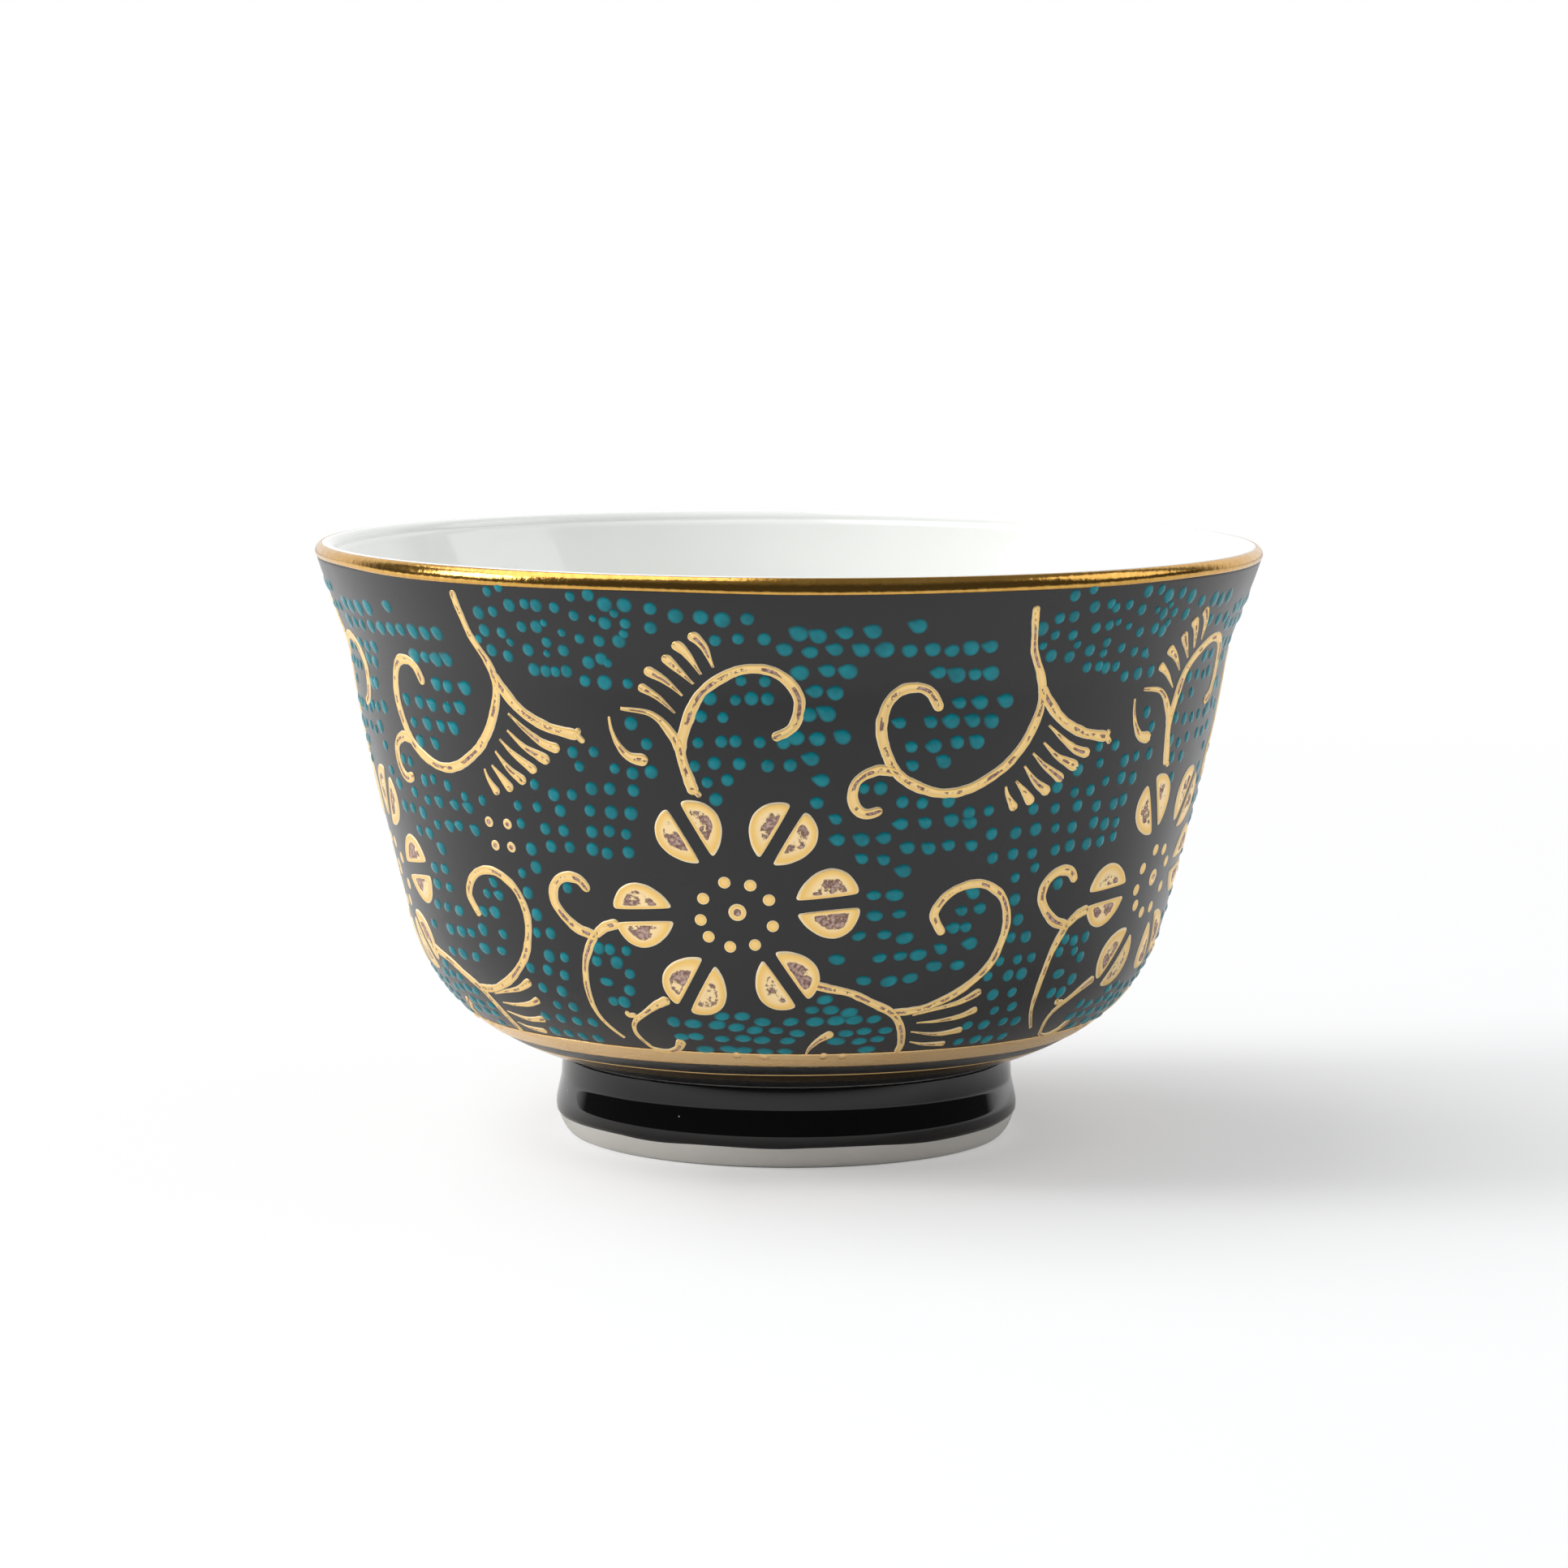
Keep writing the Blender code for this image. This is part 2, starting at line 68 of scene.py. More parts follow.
print("frame:", len(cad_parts), "nodes, rim radius", round(RIM_RADIUS / MM, 2), "mm, height",
      round(CUP_HEIGHT / MM, 2), "mm")

# %% [markdown]
# ## The camera
# A camera's place can be found from circles: the rim, the bands and the foot show as ellipses, and how
# flat each one is says how far above it the camera stands. Here that gives a long lens, half a metre away,
# looking a little down. The small roll is the photograph's own.

# %% Place the camera
CAMERA_PLACE = Vector((-0.36, -500.0, 92.6)) * MM
CAMERA_PITCH = radians(6.75)
CAMERA_ROLL = radians(0.28)
IMAGE_PIXELS = 1932
FOCAL_PIXELS = 6470
SENSOR_WIDTH = 36.0
scene = bpy.context.scene


def add_object(name, data):
    """Puts a camera, a lamp or a mesh into the scene."""
    thing = bpy.data.objects.new(name, data)
    scene.collection.objects.link(thing)
    return thing


camera = add_object("camera", bpy.data.cameras.new("camera"))
camera.data.sensor_width = SENSOR_WIDTH
camera.data.lens = SENSOR_WIDTH * FOCAL_PIXELS / IMAGE_PIXELS
camera.matrix_world = (Matrix.Translation(CAMERA_PLACE)
                       @ Matrix.Rotation(pi / 2 - CAMERA_PITCH, 4, "X")
                       @ Matrix.Rotation(CAMERA_ROLL, 4, "Z"))
scene.camera = camera
print("camera: lens", round(camera.data.lens, 1), "mm")

# %% [markdown]
# ## Colours, nodes and coats
# Colours are sRGB hex values, as a picture shows them, and are turned to the linear values that shaders
# use. One small function adds a shader node with all that goes into it, so a material reads as a list. A
# plain coat could be one flat colour, but a fired coat never is: it drifts between two close tones in soft
# patches. One function makes every such coat, from its tones and the size of its patches and ripples.

# %% Helpers for materials
# The inputs of a colour mix node: its share and its two colours.
SHARE, FIRST, SECOND = 0, 6, 7


def hex_color(code):
    """An sRGB hex colour as linear red, green, blue and alpha."""
    channels = [int(code[place:place + 2], 16) / 255 for place in (1, 3, 5)]
    return (*[c / 12.92 if c <= 0.04045 else ((c + 0.055) / 1.055) ** 2.4 for c in channels], 1.0)


def feed(node, inputs):
    """Sets each input to a value or hex colour, or links it to a socket or to a node's output in use."""
    for name, value in inputs.items():
        if isinstance(value, bpy.types.Node):
            value = next(output for output in value.outputs if output.enabled)
        if isinstance(value, bpy.types.NodeSocket):
            node.id_data.links.new(value, node.inputs[name])
        else:
            node.inputs[name].default_value = hex_color(value) if isinstance(value, str) else value


def add_node(tree, kind, inputs=None, **options):
    """Adds a shader node of a kind, with its own options and what goes into it."""
    node = tree.nodes.new("ShaderNode" + kind)
    for name, value in options.items():
        setattr(node, name, value)
    feed(node, inputs or {})
    return node


def new_material(name, settings):
    """A material, what adds nodes to it, its Principled shader, and each point's place in metres."""
    material = bpy.data.materials.new(name)
    material.use_nodes = True
    add = partial(add_node, material.node_tree)
    shader = material.node_tree.nodes["Principled BSDF"]
    feed(shader, settings)
    return material, add, shader, add("TexCoord").outputs["Object"]


def clouded_coat(name, settings, tones, cloud, gloss=None, ripple=None, stretch=(1.0, 1.0, 1.0)):
    """A coat that drifts between two tones, and two roughnesses if gloss gives them.

    The cloud is the patches' size and detail. A ripple is its size, detail, strength and depth.
    """
    material, add, shader, place = new_material(name, settings)
    spot = add("Mapping", {"Vector": place, "Scale": stretch})
    patch = add("TexNoise", {"Vector": spot, "Scale": 1 / cloud[0], "Detail": cloud[1]})
    tint = add("Mix", {SHARE: patch, FIRST: tones[0], SECOND: tones[1]}, data_type="RGBA")
    looks = {"Base Color": tint}
    if gloss:
        looks["Roughness"] = add("MapRange", {"Value": patch, "To Min": gloss[0], "To Max": gloss[1]})
    if ripple:
        size, detail, strength, depth = ripple
        wave = add("TexNoise", {"Vector": place, "Scale": 1 / size, "Detail": detail})
        looks["Normal"] = add("Bump", {"Height": wave, "Strength": strength, "Distance": depth})
    feed(shader, looks)
    print("material:", name)
    return material


print("helpers: red #ff0000 is", hex_color("#ff0000"))

# %% [markdown]
# ## White glazed porcelain
# Porcelain is white clay fired until it is glassy, under a thin clear glaze. The glaze gives sharp, bright
# reflections, and it lies in very soft waves. The colour hardly changes, so its tones are two near whites.

# %% Glazed porcelain
PORCELAIN_CLOUD = (30 * MM, 2.0)
GLAZE_WAVE = (7 * MM, 1.0, 0.15, 0.05 * MM)
glazed_porcelain = clouded_coat("clear_glazed_porcelain", {"Roughness": 0.07, "IOR": 1.5},
                                ("#f9faf7", "#f1f3ee"), PORCELAIN_CLOUD, ripple=GLAZE_WAVE)

# %% [markdown]
# ## Bare porcelain
# The base of the foot is wiped clean before firing, or it would stick to the kiln shelf. Bare porcelain is
# matt and a little greyer, with a fine grit that a finger can feel.

# %% Bare porcelain
BASE_STAIN = (6 * MM, 4.0)
# Real grit is under 0.1 mm, too fine to show here, so it is drawn coarser.
GRIT = (0.35 * MM, 2.0, 0.35, 0.03 * MM)
bare_porcelain = clouded_coat("wiped_bare_porcelain", {"Roughness": 0.42, "IOR": 1.5},
                              ("#d0cec9", "#c3c0ba"), BASE_STAIN, ripple=GRIT)

# %% [markdown]
# ## Black enamel
# The ground of the painting is a black overglaze enamel, dabbed on and fired at a low heat. It is darker
# than paint but not as glossy as a glaze: a satin skin with a faint orange peel, and slow changes in its
# gloss.

# %% Black enamel
GLOSS_PATCH = (5 * MM, 3.0)
ORANGE_PEEL = (0.7 * MM, 1.0, 0.12, 0.03 * MM)
black_enamel = clouded_coat("dabbed_black_enamel", {"IOR": 1.5}, ("#161516", "#1d1c1d"), GLOSS_PATCH,
                            gloss=(0.24, 0.34), ripple=ORANGE_PEEL)

# %% [markdown]
# ## Black glaze with kiln specks
# The foot is dipped in a black glaze that fires to a mirror. Its reflections make it look striped: dark
# room, pale table. A few pale specks of kiln dust sit in it. They lie in random cells, and most cells are
# empty.

# %% Black glaze
SPECK_SPACING = 1.6 * MM
EMPTY_CELLS = 0.80
SPECK_REACH = 0.045
black_glaze, add, shader, place = new_material("dipped_black_glaze", {"Roughness": 0.05, "IOR": 1.45})
cells = add("TexVoronoi", {"Vector": place, "Scale": 1 / SPECK_SPACING})
chosen = add("Math", {0: cells.outputs["Color"], 1: EMPTY_CELLS}, operation="GREATER_THAN")
small = add("Math", {0: cells.outputs["Distance"], 1: SPECK_REACH}, operation="LESS_THAN")
speck = add("Math", {0: chosen, 1: small}, operation="MULTIPLY")
glaze = add("Mix", {SHARE: speck, FIRST: "#080708", SECOND: "#b5aea8"}, data_type="RGBA")
feed(shader, {"Base Color": glaze})
print("material:", black_glaze.name)

# %% [markdown]
# ## Gold
# The lip has bright gold, brushed on liquid and fired: a mirror with brush ripples. The band under the
# painting has satin gold, burnished less, with streaks that run round the cup, and the narrow line under
# it is polished. The scrolls and petals have satin gold over raised enamel. There the gold has sunk or
# worn through to brown in the hollows. A pale highlight is painted along the edges, where the gold is
# made less metallic so that a cream colour shows. Marks on the mesh say where the hollows and the edges are.

# %% Gold for the lip, the band and the line
LIP_BRUSH = (0.7 * MM, 3.0)
LIP_RIPPLE = (*LIP_BRUSH, 0.5, 0.08 * MM)
BAND_CLOUD = (4 * MM, 4.0)
BRUSH_STRETCH = (1.0, 1.0, 9.0)
bright_gold = clouded_coat("brushed_bright_gold", {"Metallic": 1.0}, ("#e6b866", "#c48f3c"), LIP_BRUSH,
                           gloss=(0.10, 0.24), ripple=LIP_RIPPLE)
satin_gold = clouded_coat("burnished_satin_gold", {"Metallic": 1.0}, ("#ffdfa8", "#f3c27e"), BAND_CLOUD,
                          gloss=(0.22, 0.32), stretch=BRUSH_STRETCH)
polished_gold = clouded_coat("polished_gold_line", {"Metallic": 1.0}, ("#efca8c", "#d9ae6a"), BAND_CLOUD,
                             gloss=(0.08, 0.20))

# %% Gold for the scrolls and petals
HOLLOW_MARK = "hollow"
WEAR_PATCH = 1.7 * MM
WEAR_FLECK = 0.32 * MM
WEAR_FADE = 0.05
FLECK_EDGE = (0.36, 0.60)
# Each from whole gold to worn gold, and to the painted pale highlight along the edges.
METAL_FOR_WEAR_AND_HIGHLIGHT = (0.80, 0.15)
GLOSS_FOR_WEAR_AND_HIGHLIGHT = (0.36, 0.58)


def gilded_relief(name, pale, wear_from, wear_to):
    """Satin gold over raised enamel: worn brown where the hollow mark is high, painted highlight where low.
    """
    material, add, shader, place = new_material(name, {})
    hollow = add("Attribute", attribute_name=HOLLOW_MARK).outputs["Fac"]
    patch = add("TexNoise", {"Vector": place, "Scale": 1 / WEAR_PATCH, "Detail": 6.0, "Roughness": 0.66})
    reach = add("Math", {0: hollow, 1: patch}, operation="MULTIPLY")
    wear = add("MapRange", {"Value": reach, "From Min": wear_from, "From Max": wear_to})
    inside = add("MapRange", {"Value": reach, "From Min": wear_to, "From Max": wear_to + WEAR_FADE})
    fleck = add("TexNoise", {"Vector": place, "Scale": 1 / WEAR_FLECK, "Detail": 3.0})
    flecked = add("MapRange", {"Value": fleck, "From Min": FLECK_EDGE[0], "From Max": FLECK_EDGE[1]})
    mauve = add("Math", {0: inside, 1: flecked}, operation="MULTIPLY")
    brown = add("Mix", {SHARE: mauve, FIRST: "#7a574f", SECOND: "#c9aa9b"}, data_type="RGBA")
    # The edge mark carries a painted highlight: a cream rim along the raised edges, with less metal there.
    edge = add("Math", {0: hollow, 1: -1.0}, operation="MULTIPLY", use_clamp=True)
    tint = add("Mix", {SHARE: hollow, FIRST: "#f8cb70", SECOND: pale}, data_type="RGBA")
    rim = add("Mix", {SHARE: edge, FIRST: tint, SECOND: "#ffedc8"}, data_type="RGBA")
    worn = add("Mix", {SHARE: wear, FIRST: rim, SECOND: brown}, data_type="RGBA")
    # Worn gold and the painted edge highlight both lose metal and gloss.
    bare = add("Math", {0: edge, 1: wear}, operation="MAXIMUM")
    metal = add("MapRange", {"Value": bare, "To Min": METAL_FOR_WEAR_AND_HIGHLIGHT[0], "To Max": METAL_FOR_WEAR_AND_HIGHLIGHT[1]})
    gloss = add("MapRange", {"Value": bare, "To Min": GLOSS_FOR_WEAR_AND_HIGHLIGHT[0], "To Max": GLOSS_FOR_WEAR_AND_HIGHLIGHT[1]})
    grain = add("Bump", {"Height": patch, "Strength": 0.2, "Distance": 0.04 * MM})
    feed(shader, {"Base Color": worn, "Metallic": metal, "Roughness": gloss, "Normal": grain})
    return material


gilded_line = gilded_relief("gilded_raised_line", pale="#fbd896", wear_from=0.50, wear_to=0.54)
gilded_petal = gilded_relief("gilded_raised_petal", pale="#ffe2ac", wear_from=0.455, wear_to=0.50)
print("materials:", gilded_line.name, "and", gilded_petal.name)

# %% [markdown]
# ## Teal enamel
# Each dot is a drop of coloured glass enamel that melted into a low dome. Glass is darker where it is thin
# over black, so a mark runs from 0 at a dot's edge to 1 on its crown and mixes a dark and a bright teal.

# %% Teal enamel
CROWN_MARK = "crown"
BATCH_PATCH = 1.4 * MM
THICK_FROM = 0.42
teal_enamel, add, shader, place = new_material("fired_teal_enamel", {"Roughness": 0.22, "IOR": 1.5,
                                                                      "Specular IOR Level": 0.3})
crown = add("Attribute", attribute_name=CROWN_MARK).outputs["Fac"]
batch = add("TexNoise", {"Vector": place, "Scale": 1 / BATCH_PATCH, "Detail": 2.0})
body = add("Mix", {SHARE: batch, FIRST: "#005a62", SECOND: "#00929d"}, data_type="RGBA")
thick = add("MapRange", {"Value": crown, "From Max": THICK_FROM})
glass = add("Mix", {SHARE: thick, FIRST: "#153d43", SECOND: body}, data_type="RGBA")
feed(shader, {"Base Color": glass})
print("material:", teal_enamel.name)

# %% [markdown]
# ## The table and the light
# The cup stands on a white sweep in a dark room, with a soft light at its left, a larger one above and a
# weak one at its right. The table, the backdrop and the room are what the gloss reflects, so they matter
# as much as the lamps. Far from the cup, and close to it on the side of the main light, the table glows
# for the camera and runs into the white backdrop. On the other side it is plain white paper and keeps the
# shadow. In reflections its front fades into the dark of the room, which gives the glazed foot its black
# stripe.

# %% Table
# Distances from the cup are in metres; the left and the front are negative.
WHITE = 1.0
FLOOR_SIZE = 6.0
GLOW_NEAR, GLOW_FAR = 0.10, 0.42
GLOW_LEAST = 0.30
WASH_NEAR, WASH_FAR = -0.005, -0.032
WASH_MOST = 0.92
DIM_NEAR, DIM_FAR = -0.07, -0.45
DIM_MOST = 0.9
table_material = bpy.data.materials.new("white_sweep")
table_material.use_nodes = True
table_material.node_tree.nodes.clear()
add = partial(add_node, table_material.node_tree)
spot = add("TexCoord").outputs["Object"]
sides = add("SeparateXYZ", {0: spot})
distance = add("VectorMath", {0: spot}, operation="LENGTH").outputs["Value"]
far = add("MapRange", {"Value": distance, "From Min": GLOW_NEAR, "From Max": GLOW_FAR,
                       "To Min": GLOW_LEAST}, interpolation_type="SMOOTHSTEP")
wash = add("MapRange", {"Value": sides.outputs["X"], "From Min": WASH_NEAR, "From Max": WASH_FAR,
                        "To Min": GLOW_LEAST, "To Max": WASH_MOST})
lit = add("Math", {0: far, 1: wash}, operation="MAXIMUM")
path = add("LightPath")
glow = add("Math", {0: path.outputs["Is Camera Ray"], 1: lit}, operation="MULTIPLY")
front = add("MapRange", {"Value": sides.outputs["Y"], "From Min": DIM_NEAR, "From Max": DIM_FAR,
                         "To Max": DIM_MOST})
mirrored = add("Math", {0: path.outputs["Is Glossy Ray"], 1: front}, operation="MULTIPLY")
sheet_tone = add("Mix", {SHARE: mirrored, FIRST: "#f4f4f4", SECOND: "#1c1c1c"}, data_type="RGBA")
paper_white = add("BsdfDiffuse", {"Color": sheet_tone})
light_white = add("Emission", {"Color": "#ffffff", "Strength": WHITE})
sweep = add("MixShader", {0: glow, 1: paper_white, 2: light_white})
add("OutputMaterial", {0: sweep})
table_mesh = bpy.data.meshes.new("table")
table_sheet = bmesh.new()
bmesh.ops.create_grid(table_sheet, x_segments=8, y_segments=8, size=FLOOR_SIZE / 2)
table_sheet.to_mesh(table_mesh)
table_sheet.free()
table_mesh.materials.append(table_material)
table = add_object("table", table_mesh)
print("table:", FLOOR_SIZE, "m wide")

# %% [markdown]
# The world could be one even grey, but then every gloss on the cup would be grey too. So each kind of ray
# sees its own world: the camera sees white, gloss sees a backdrop behind the cup, a pale ceiling and a
# dark room, and the rest is an even soft light.

# %% World
AMBIENT = 0.55
ROOM_TONE = 0.06
CEILING_TONE = 0.2
BACKDROP_EDGE = (0.50, 0.66)
CEILING_EDGE = (0.55, 0.80)
world = bpy.data.worlds.new("studio")
scene.world = world
world.use_nodes = True
world.node_tree.nodes.clear()
add = partial(add_node, world.node_tree)
path = add("LightPath")
toward = add("SeparateXYZ", {0: add("TexCoord").outputs["Generated"]})
behind = add("MapRange", {"Value": toward.outputs["Y"], "From Min": BACKDROP_EDGE[0],
                          "From Max": BACKDROP_EDGE[1], "To Min": ROOM_TONE, "To Max": WHITE})
above = add("MapRange", {"Value": toward.outputs["Z"], "From Min": CEILING_EDGE[0],
                         "From Max": CEILING_EDGE[1], "To Min": ROOM_TONE, "To Max": CEILING_TONE})
bright = add("Math", {0: behind, 1: above}, operation="MAXIMUM")
room = add("Background", {"Color": "#ffffff", "Strength": bright})
soft = add("Background", {"Color": "#fbfcff", "Strength": AMBIENT})
white = add("Background", {"Color": "#ffffff", "Strength": WHITE})
gloss_or_soft = add("MixShader", {0: path.outputs["Is Glossy Ray"], 1: soft, 2: room})
all_rays = add("MixShader", {0: path.outputs["Is Camera Ray"], 1: gloss_or_soft, 2: white})
add("OutputWorld", {0: all_rays})
print("world: ambient", AMBIENT)

# %% Soft lights at the left, above and at the right
# Each has its place and its width in metres, and its power in watts.
SOFT_BOXES = {"left_soft_box": ((-1.0, -0.10, 0.52), 0.40, 5.6),
              "top_soft_box": ((-0.6, 0.1, 1.2), 1.1, 8.4),
              "right_fill": ((1.1, 0.1, 0.75), 0.7, 2.3)}
for name, (spot, size, watts) in SOFT_BOXES.items():
    lamp = add_object(name, bpy.data.lights.new(name, "AREA"))
    lamp.data.shape = "SQUARE"
    lamp.data.size = size
    lamp.data.energy = watts
    lamp.location = spot
    lamp.rotation_euler = (-Vector(spot)).to_track_quat("-Z", "Y").to_euler()
    print(name, size, "m square,", watts, "W")
scene.view_settings.view_transform = "Standard"

# %% [markdown]
# ## The wall line
# The bowl is turned, so one line drawn from the foot's neck to the lip gives its whole outside. Three
# Bezier stretches make that line: the round heel, the steep wall, and the flare of the lip. A stretch runs
# from knot to knot, and each knot leans the line its own way. Every coat and every stroke of the painting
# is placed by how far it runs along this line, and how far it stands proud of it.

# %% Draw the wall line
NECK = Vector((21.3, 7.7)) * MM
BELLY = Vector((36.3, 22.0)) * MM
THROAT = Vector((41.5, 45.5)) * MM
LIP_ROUND = 0.9 * MM
LIP = Vector((RIM_RADIUS, CUP_HEIGHT - LIP_ROUND))
HEEL_LEAN = Vector((8.0, 2.4)) * MM
BELLY_LEAN = Vector((2.0, 8.1)) * MM
THROAT_LEAN = Vector((1.1, 7.5)) * MM
FLARE_START_LEAN = THROAT_LEAN * 0.4
FLARE_LEAN = Vector((1.4, 4.5)) * MM
WALL_POINTS = 40


def leaning_line(knots, counts):
    """A line through knots, each a place and its leans before and after; counts are points per stretch."""
    line = [knots[0][0]]
    for (start, _, out), (end, into, _), count in zip(knots, knots[1:], counts):
        line += interpolate_bezier(start, start + out, end - into, end, count)[1:]
    return line


def running_lengths(points):
    """How far along a line each of its points lies."""
    runs = [0.0]
    for here, there in zip(points, points[1:]):
        runs.append(runs[-1] + (there - here).length)
    return runs


WALL = leaning_line([(NECK, None, HEEL_LEAN), (BELLY, BELLY_LEAN, BELLY_LEAN),
                     (THROAT, THROAT_LEAN, FLARE_START_LEAN), (LIP, FLARE_LEAN, None)], [WALL_POINTS] * 3)
WALL_RUN = running_lengths(WALL)
WALL_LENGTH = WALL_RUN[-1]
THROAT_RUN = WALL_RUN[2 * (WALL_POINTS - 1)]


def on_wall(run, proud):
    """(radius, height) at a run along the wall line, standing proud of it."""
    index = min(max(bisect.bisect_right(WALL_RUN, run) - 1, 0), len(WALL) - 2)
    share = (run - WALL_RUN[index]) / (WALL_RUN[index + 1] - WALL_RUN[index])
    along = WALL[min(index + 2, len(WALL) - 1)] - WALL[max(index - 1, 0)]
    out = Vector((along.y, -along.x)).normalized()
    return WALL[index].lerp(WALL[index + 1], share) + out * proud


def wall_stretch(start, end, proud, parts):
    """The wall line from one run up to another, in a number of parts."""
    return [on_wall(start + (end - start) * part / parts, proud) for part in range(parts + 1)]


print("wall line:", round(WALL_LENGTH / MM, 2), "mm from the neck to the lip")

# %% [markdown]
# ## Turned bodies
# A turned body is a profile carried round the axis. A function that gives the profile for each angle can
# also make what a machine would not: an edge that wavers a little, as a dipped or brushed edge does.

# %% Helpers for pieces
WELD = 1e-7
TURN_STEPS = 288
WAVER_PACE = 2.2


def ring_faces(rings, count, round_ring=True, round_body=False):
    """Faces between rings of points of one count; a ring, or the body of rings, can close on itself."""
    faces = []
    for ring in range(rings if round_body else rings - 1):
        here, there = ring * count, (ring + 1) % rings * count
        for index in range(count if round_ring else count - 1):
            after = (index + 1) % count
            faces.append((here + index, here + after, there + after, there + index))
    return faces


def add_piece(name, verts, faces, material, nodes=(), marks=None):
    """Makes a mesh piece of the cup, smooth and facing outwards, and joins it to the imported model."""
    mesh = bpy.data.meshes.new(name)
    mesh.from_pydata(verts, [], faces)
    for mark, values in (marks or {}).items():
        mesh.attributes.new(mark, "FLOAT", "POINT").data.foreach_set("value", values)
    sheet = bmesh.new()
    sheet.from_mesh(mesh)
    bmesh.ops.remove_doubles(sheet, verts=sheet.verts, dist=WELD)
    bmesh.ops.recalc_face_normals(sheet, faces=sheet.faces)
    sheet.to_mesh(mesh)
    sheet.free()
    mesh.shade_smooth()
    mesh.materials.append(material)
    piece = add_object(name, mesh)
    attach(piece, "root")
    if nodes:
        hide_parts(*nodes)
    return piece


def turned(node, finish, profile_at, material, closed=True):
    """A turned node's piece: profile_at(angle) gives its (radius, height) points, closed or axis to axis."""
    verts = []
    for step in range(TURN_STEPS):
        angle = tau * step / TURN_STEPS
        verts += [(r * sin(angle), -r * cos(angle), z) for r, z in profile_at(angle)]
    faces = ring_faces(TURN_STEPS, len(verts) // TURN_STEPS, round_ring=closed, round_body=True)
    return add_piece(f"{node}_{finish}", verts, faces, material, [node])


def waver(angle, size, seed):
    """A small slow wandering along a hand-made edge, the same all the way round again."""
    spot = Vector((sin(angle) * WAVER_PACE, cos(angle) * WAVER_PACE, seed))
    return noise.noise(spot) * size


print("turned pieces have", TURN_STEPS, "steps")

# %% [markdown]
# ## The porcelain bowl
# The bowl's inside shows white down to its floor. Its wall is thicker at the heel than at the lip, as a
# thrown wall is. Outside, the clay stops short of the wall line to leave room for the coats.

# %% Bowl
WALL_THICKNESS = 2.6 * MM
LIP_THICKNESS = 1.9 * MM
FLOOR_HEIGHT = NECK.y + 2.8 * MM
FLOOR_FLAT = 12.0 * MM
FLOOR_LEAN = 7.0 * MM
CORNER_TOP = 13.2 * MM
CORNER_POINTS = 12
SIDE_STEPS = 90
INNER_PARTS = 60
UNDER_COAT = 0.52 * MM
# Where the gold ends on the lip, in degrees up from its outer side.
LIP_GOLD_TOP = 66
LIP_PARTS = 10
LIP_MIDDLE = Vector((RIM_RADIUS - LIP_THICKNESS / 2, CUP_HEIGHT - LIP_ROUND))


def arc(middle, wide, tall, start, end, parts):
    """Points on an ellipse round a middle, between two angles in degrees."""
    angles = [radians(start + (end - start) * part / parts) for part in range(parts + 1)]
    return [middle + Vector((wide * cos(angle), tall * sin(angle))) for angle in angles]


def lip_arc(inset, start, end):
    """The round of the lip between two angles, from its outer side (0) over its crest (90)."""
    return arc(LIP_MIDDLE, LIP_THICKNESS / 2 - inset, LIP_ROUND - inset, start, end, LIP_PARTS)


def inner_wall():
    """The bowl's inside: its flat floor, the round corner, and the side up to the lip."""
    side = []
    for step in range(SIDE_STEPS):
        run = WALL_LENGTH * step / SIDE_STEPS
        thinning = max(0.0, (run - THROAT_RUN) / (WALL_LENGTH - THROAT_RUN))
        spot = on_wall(run, -WALL_THICKNESS - (LIP_THICKNESS - WALL_THICKNESS) * thinning)
        if spot.y > CORNER_TOP:
            side.append(spot)
    rise = (side[1] - side[0]).normalized() * FLOOR_LEAN
    flat = [Vector((FLOOR_FLAT * share, FLOOR_HEIGHT)) for share in (0.0, 0.5, 1.0)]
    corner = interpolate_bezier(flat[-1], flat[-1] + Vector((FLOOR_LEAN, 0.0)), side[0] - rise, side[0],
                                CORNER_POINTS)
    return flat + corner[1:-1] + side


bowl_profile = inner_wall() + lip_arc(0.0, 180, LIP_GOLD_TOP) + lip_arc(UNDER_COAT, LIP_GOLD_TOP, 0)
bowl_profile += reversed(wall_stretch(0.0, WALL_LENGTH, -UNDER_COAT, INNER_PARTS))
bowl_profile += [Vector((bowl_profile[-1].x, NECK.y)), Vector((0.0, NECK.y))]
bowl = turned("porcelain_bowl", "glazed", lambda angle: bowl_profile, glazed_porcelain,
              closed=False)
print("bowl:", len(bowl.data.vertices), "points")

# %% [markdown]
# ## The foot
# The foot is turned with a nearly upright neck, a crease, and a facet that slopes out to a rounded edge
# near the table. So the neck mirrors the table and the facet mirrors the dark room. The black glaze stops
# a little above the base in an edge that wavers, because the foot was dipped by hand. Below it the
# porcelain is bare.

# %% Foot ring and its glaze
FOOT_NECK = Vector((21.548, 7.62)) * MM
FOOT_CREASE = Vector((21.66, 5.6)) * MM
FOOT_FACET = Vector((22.06, 3.6)) * MM
FOOT_BULGE = Vector((22.14, 2.8)) * MM
FOOT_LAND = Vector((20.6, 0.0)) * MM
LAND_WIDTH = 1.3 * MM
RECESS_RADIUS = 18.4 * MM
BEVEL_WIDTH, BEVEL_TOP = 0.3 * MM, 0.9 * MM
SIDE_ROWS = 48
LEAST_STEP = 1e-9
GLAZE_EDGE = 1.9 * MM
GLAZE_WAVER = 0.35 * MM
GLAZE_THICKNESS = 0.4 * MM
down = Vector((0.0, -1.0))
facet_slope = (FOOT_FACET - FOOT_CREASE).normalized()
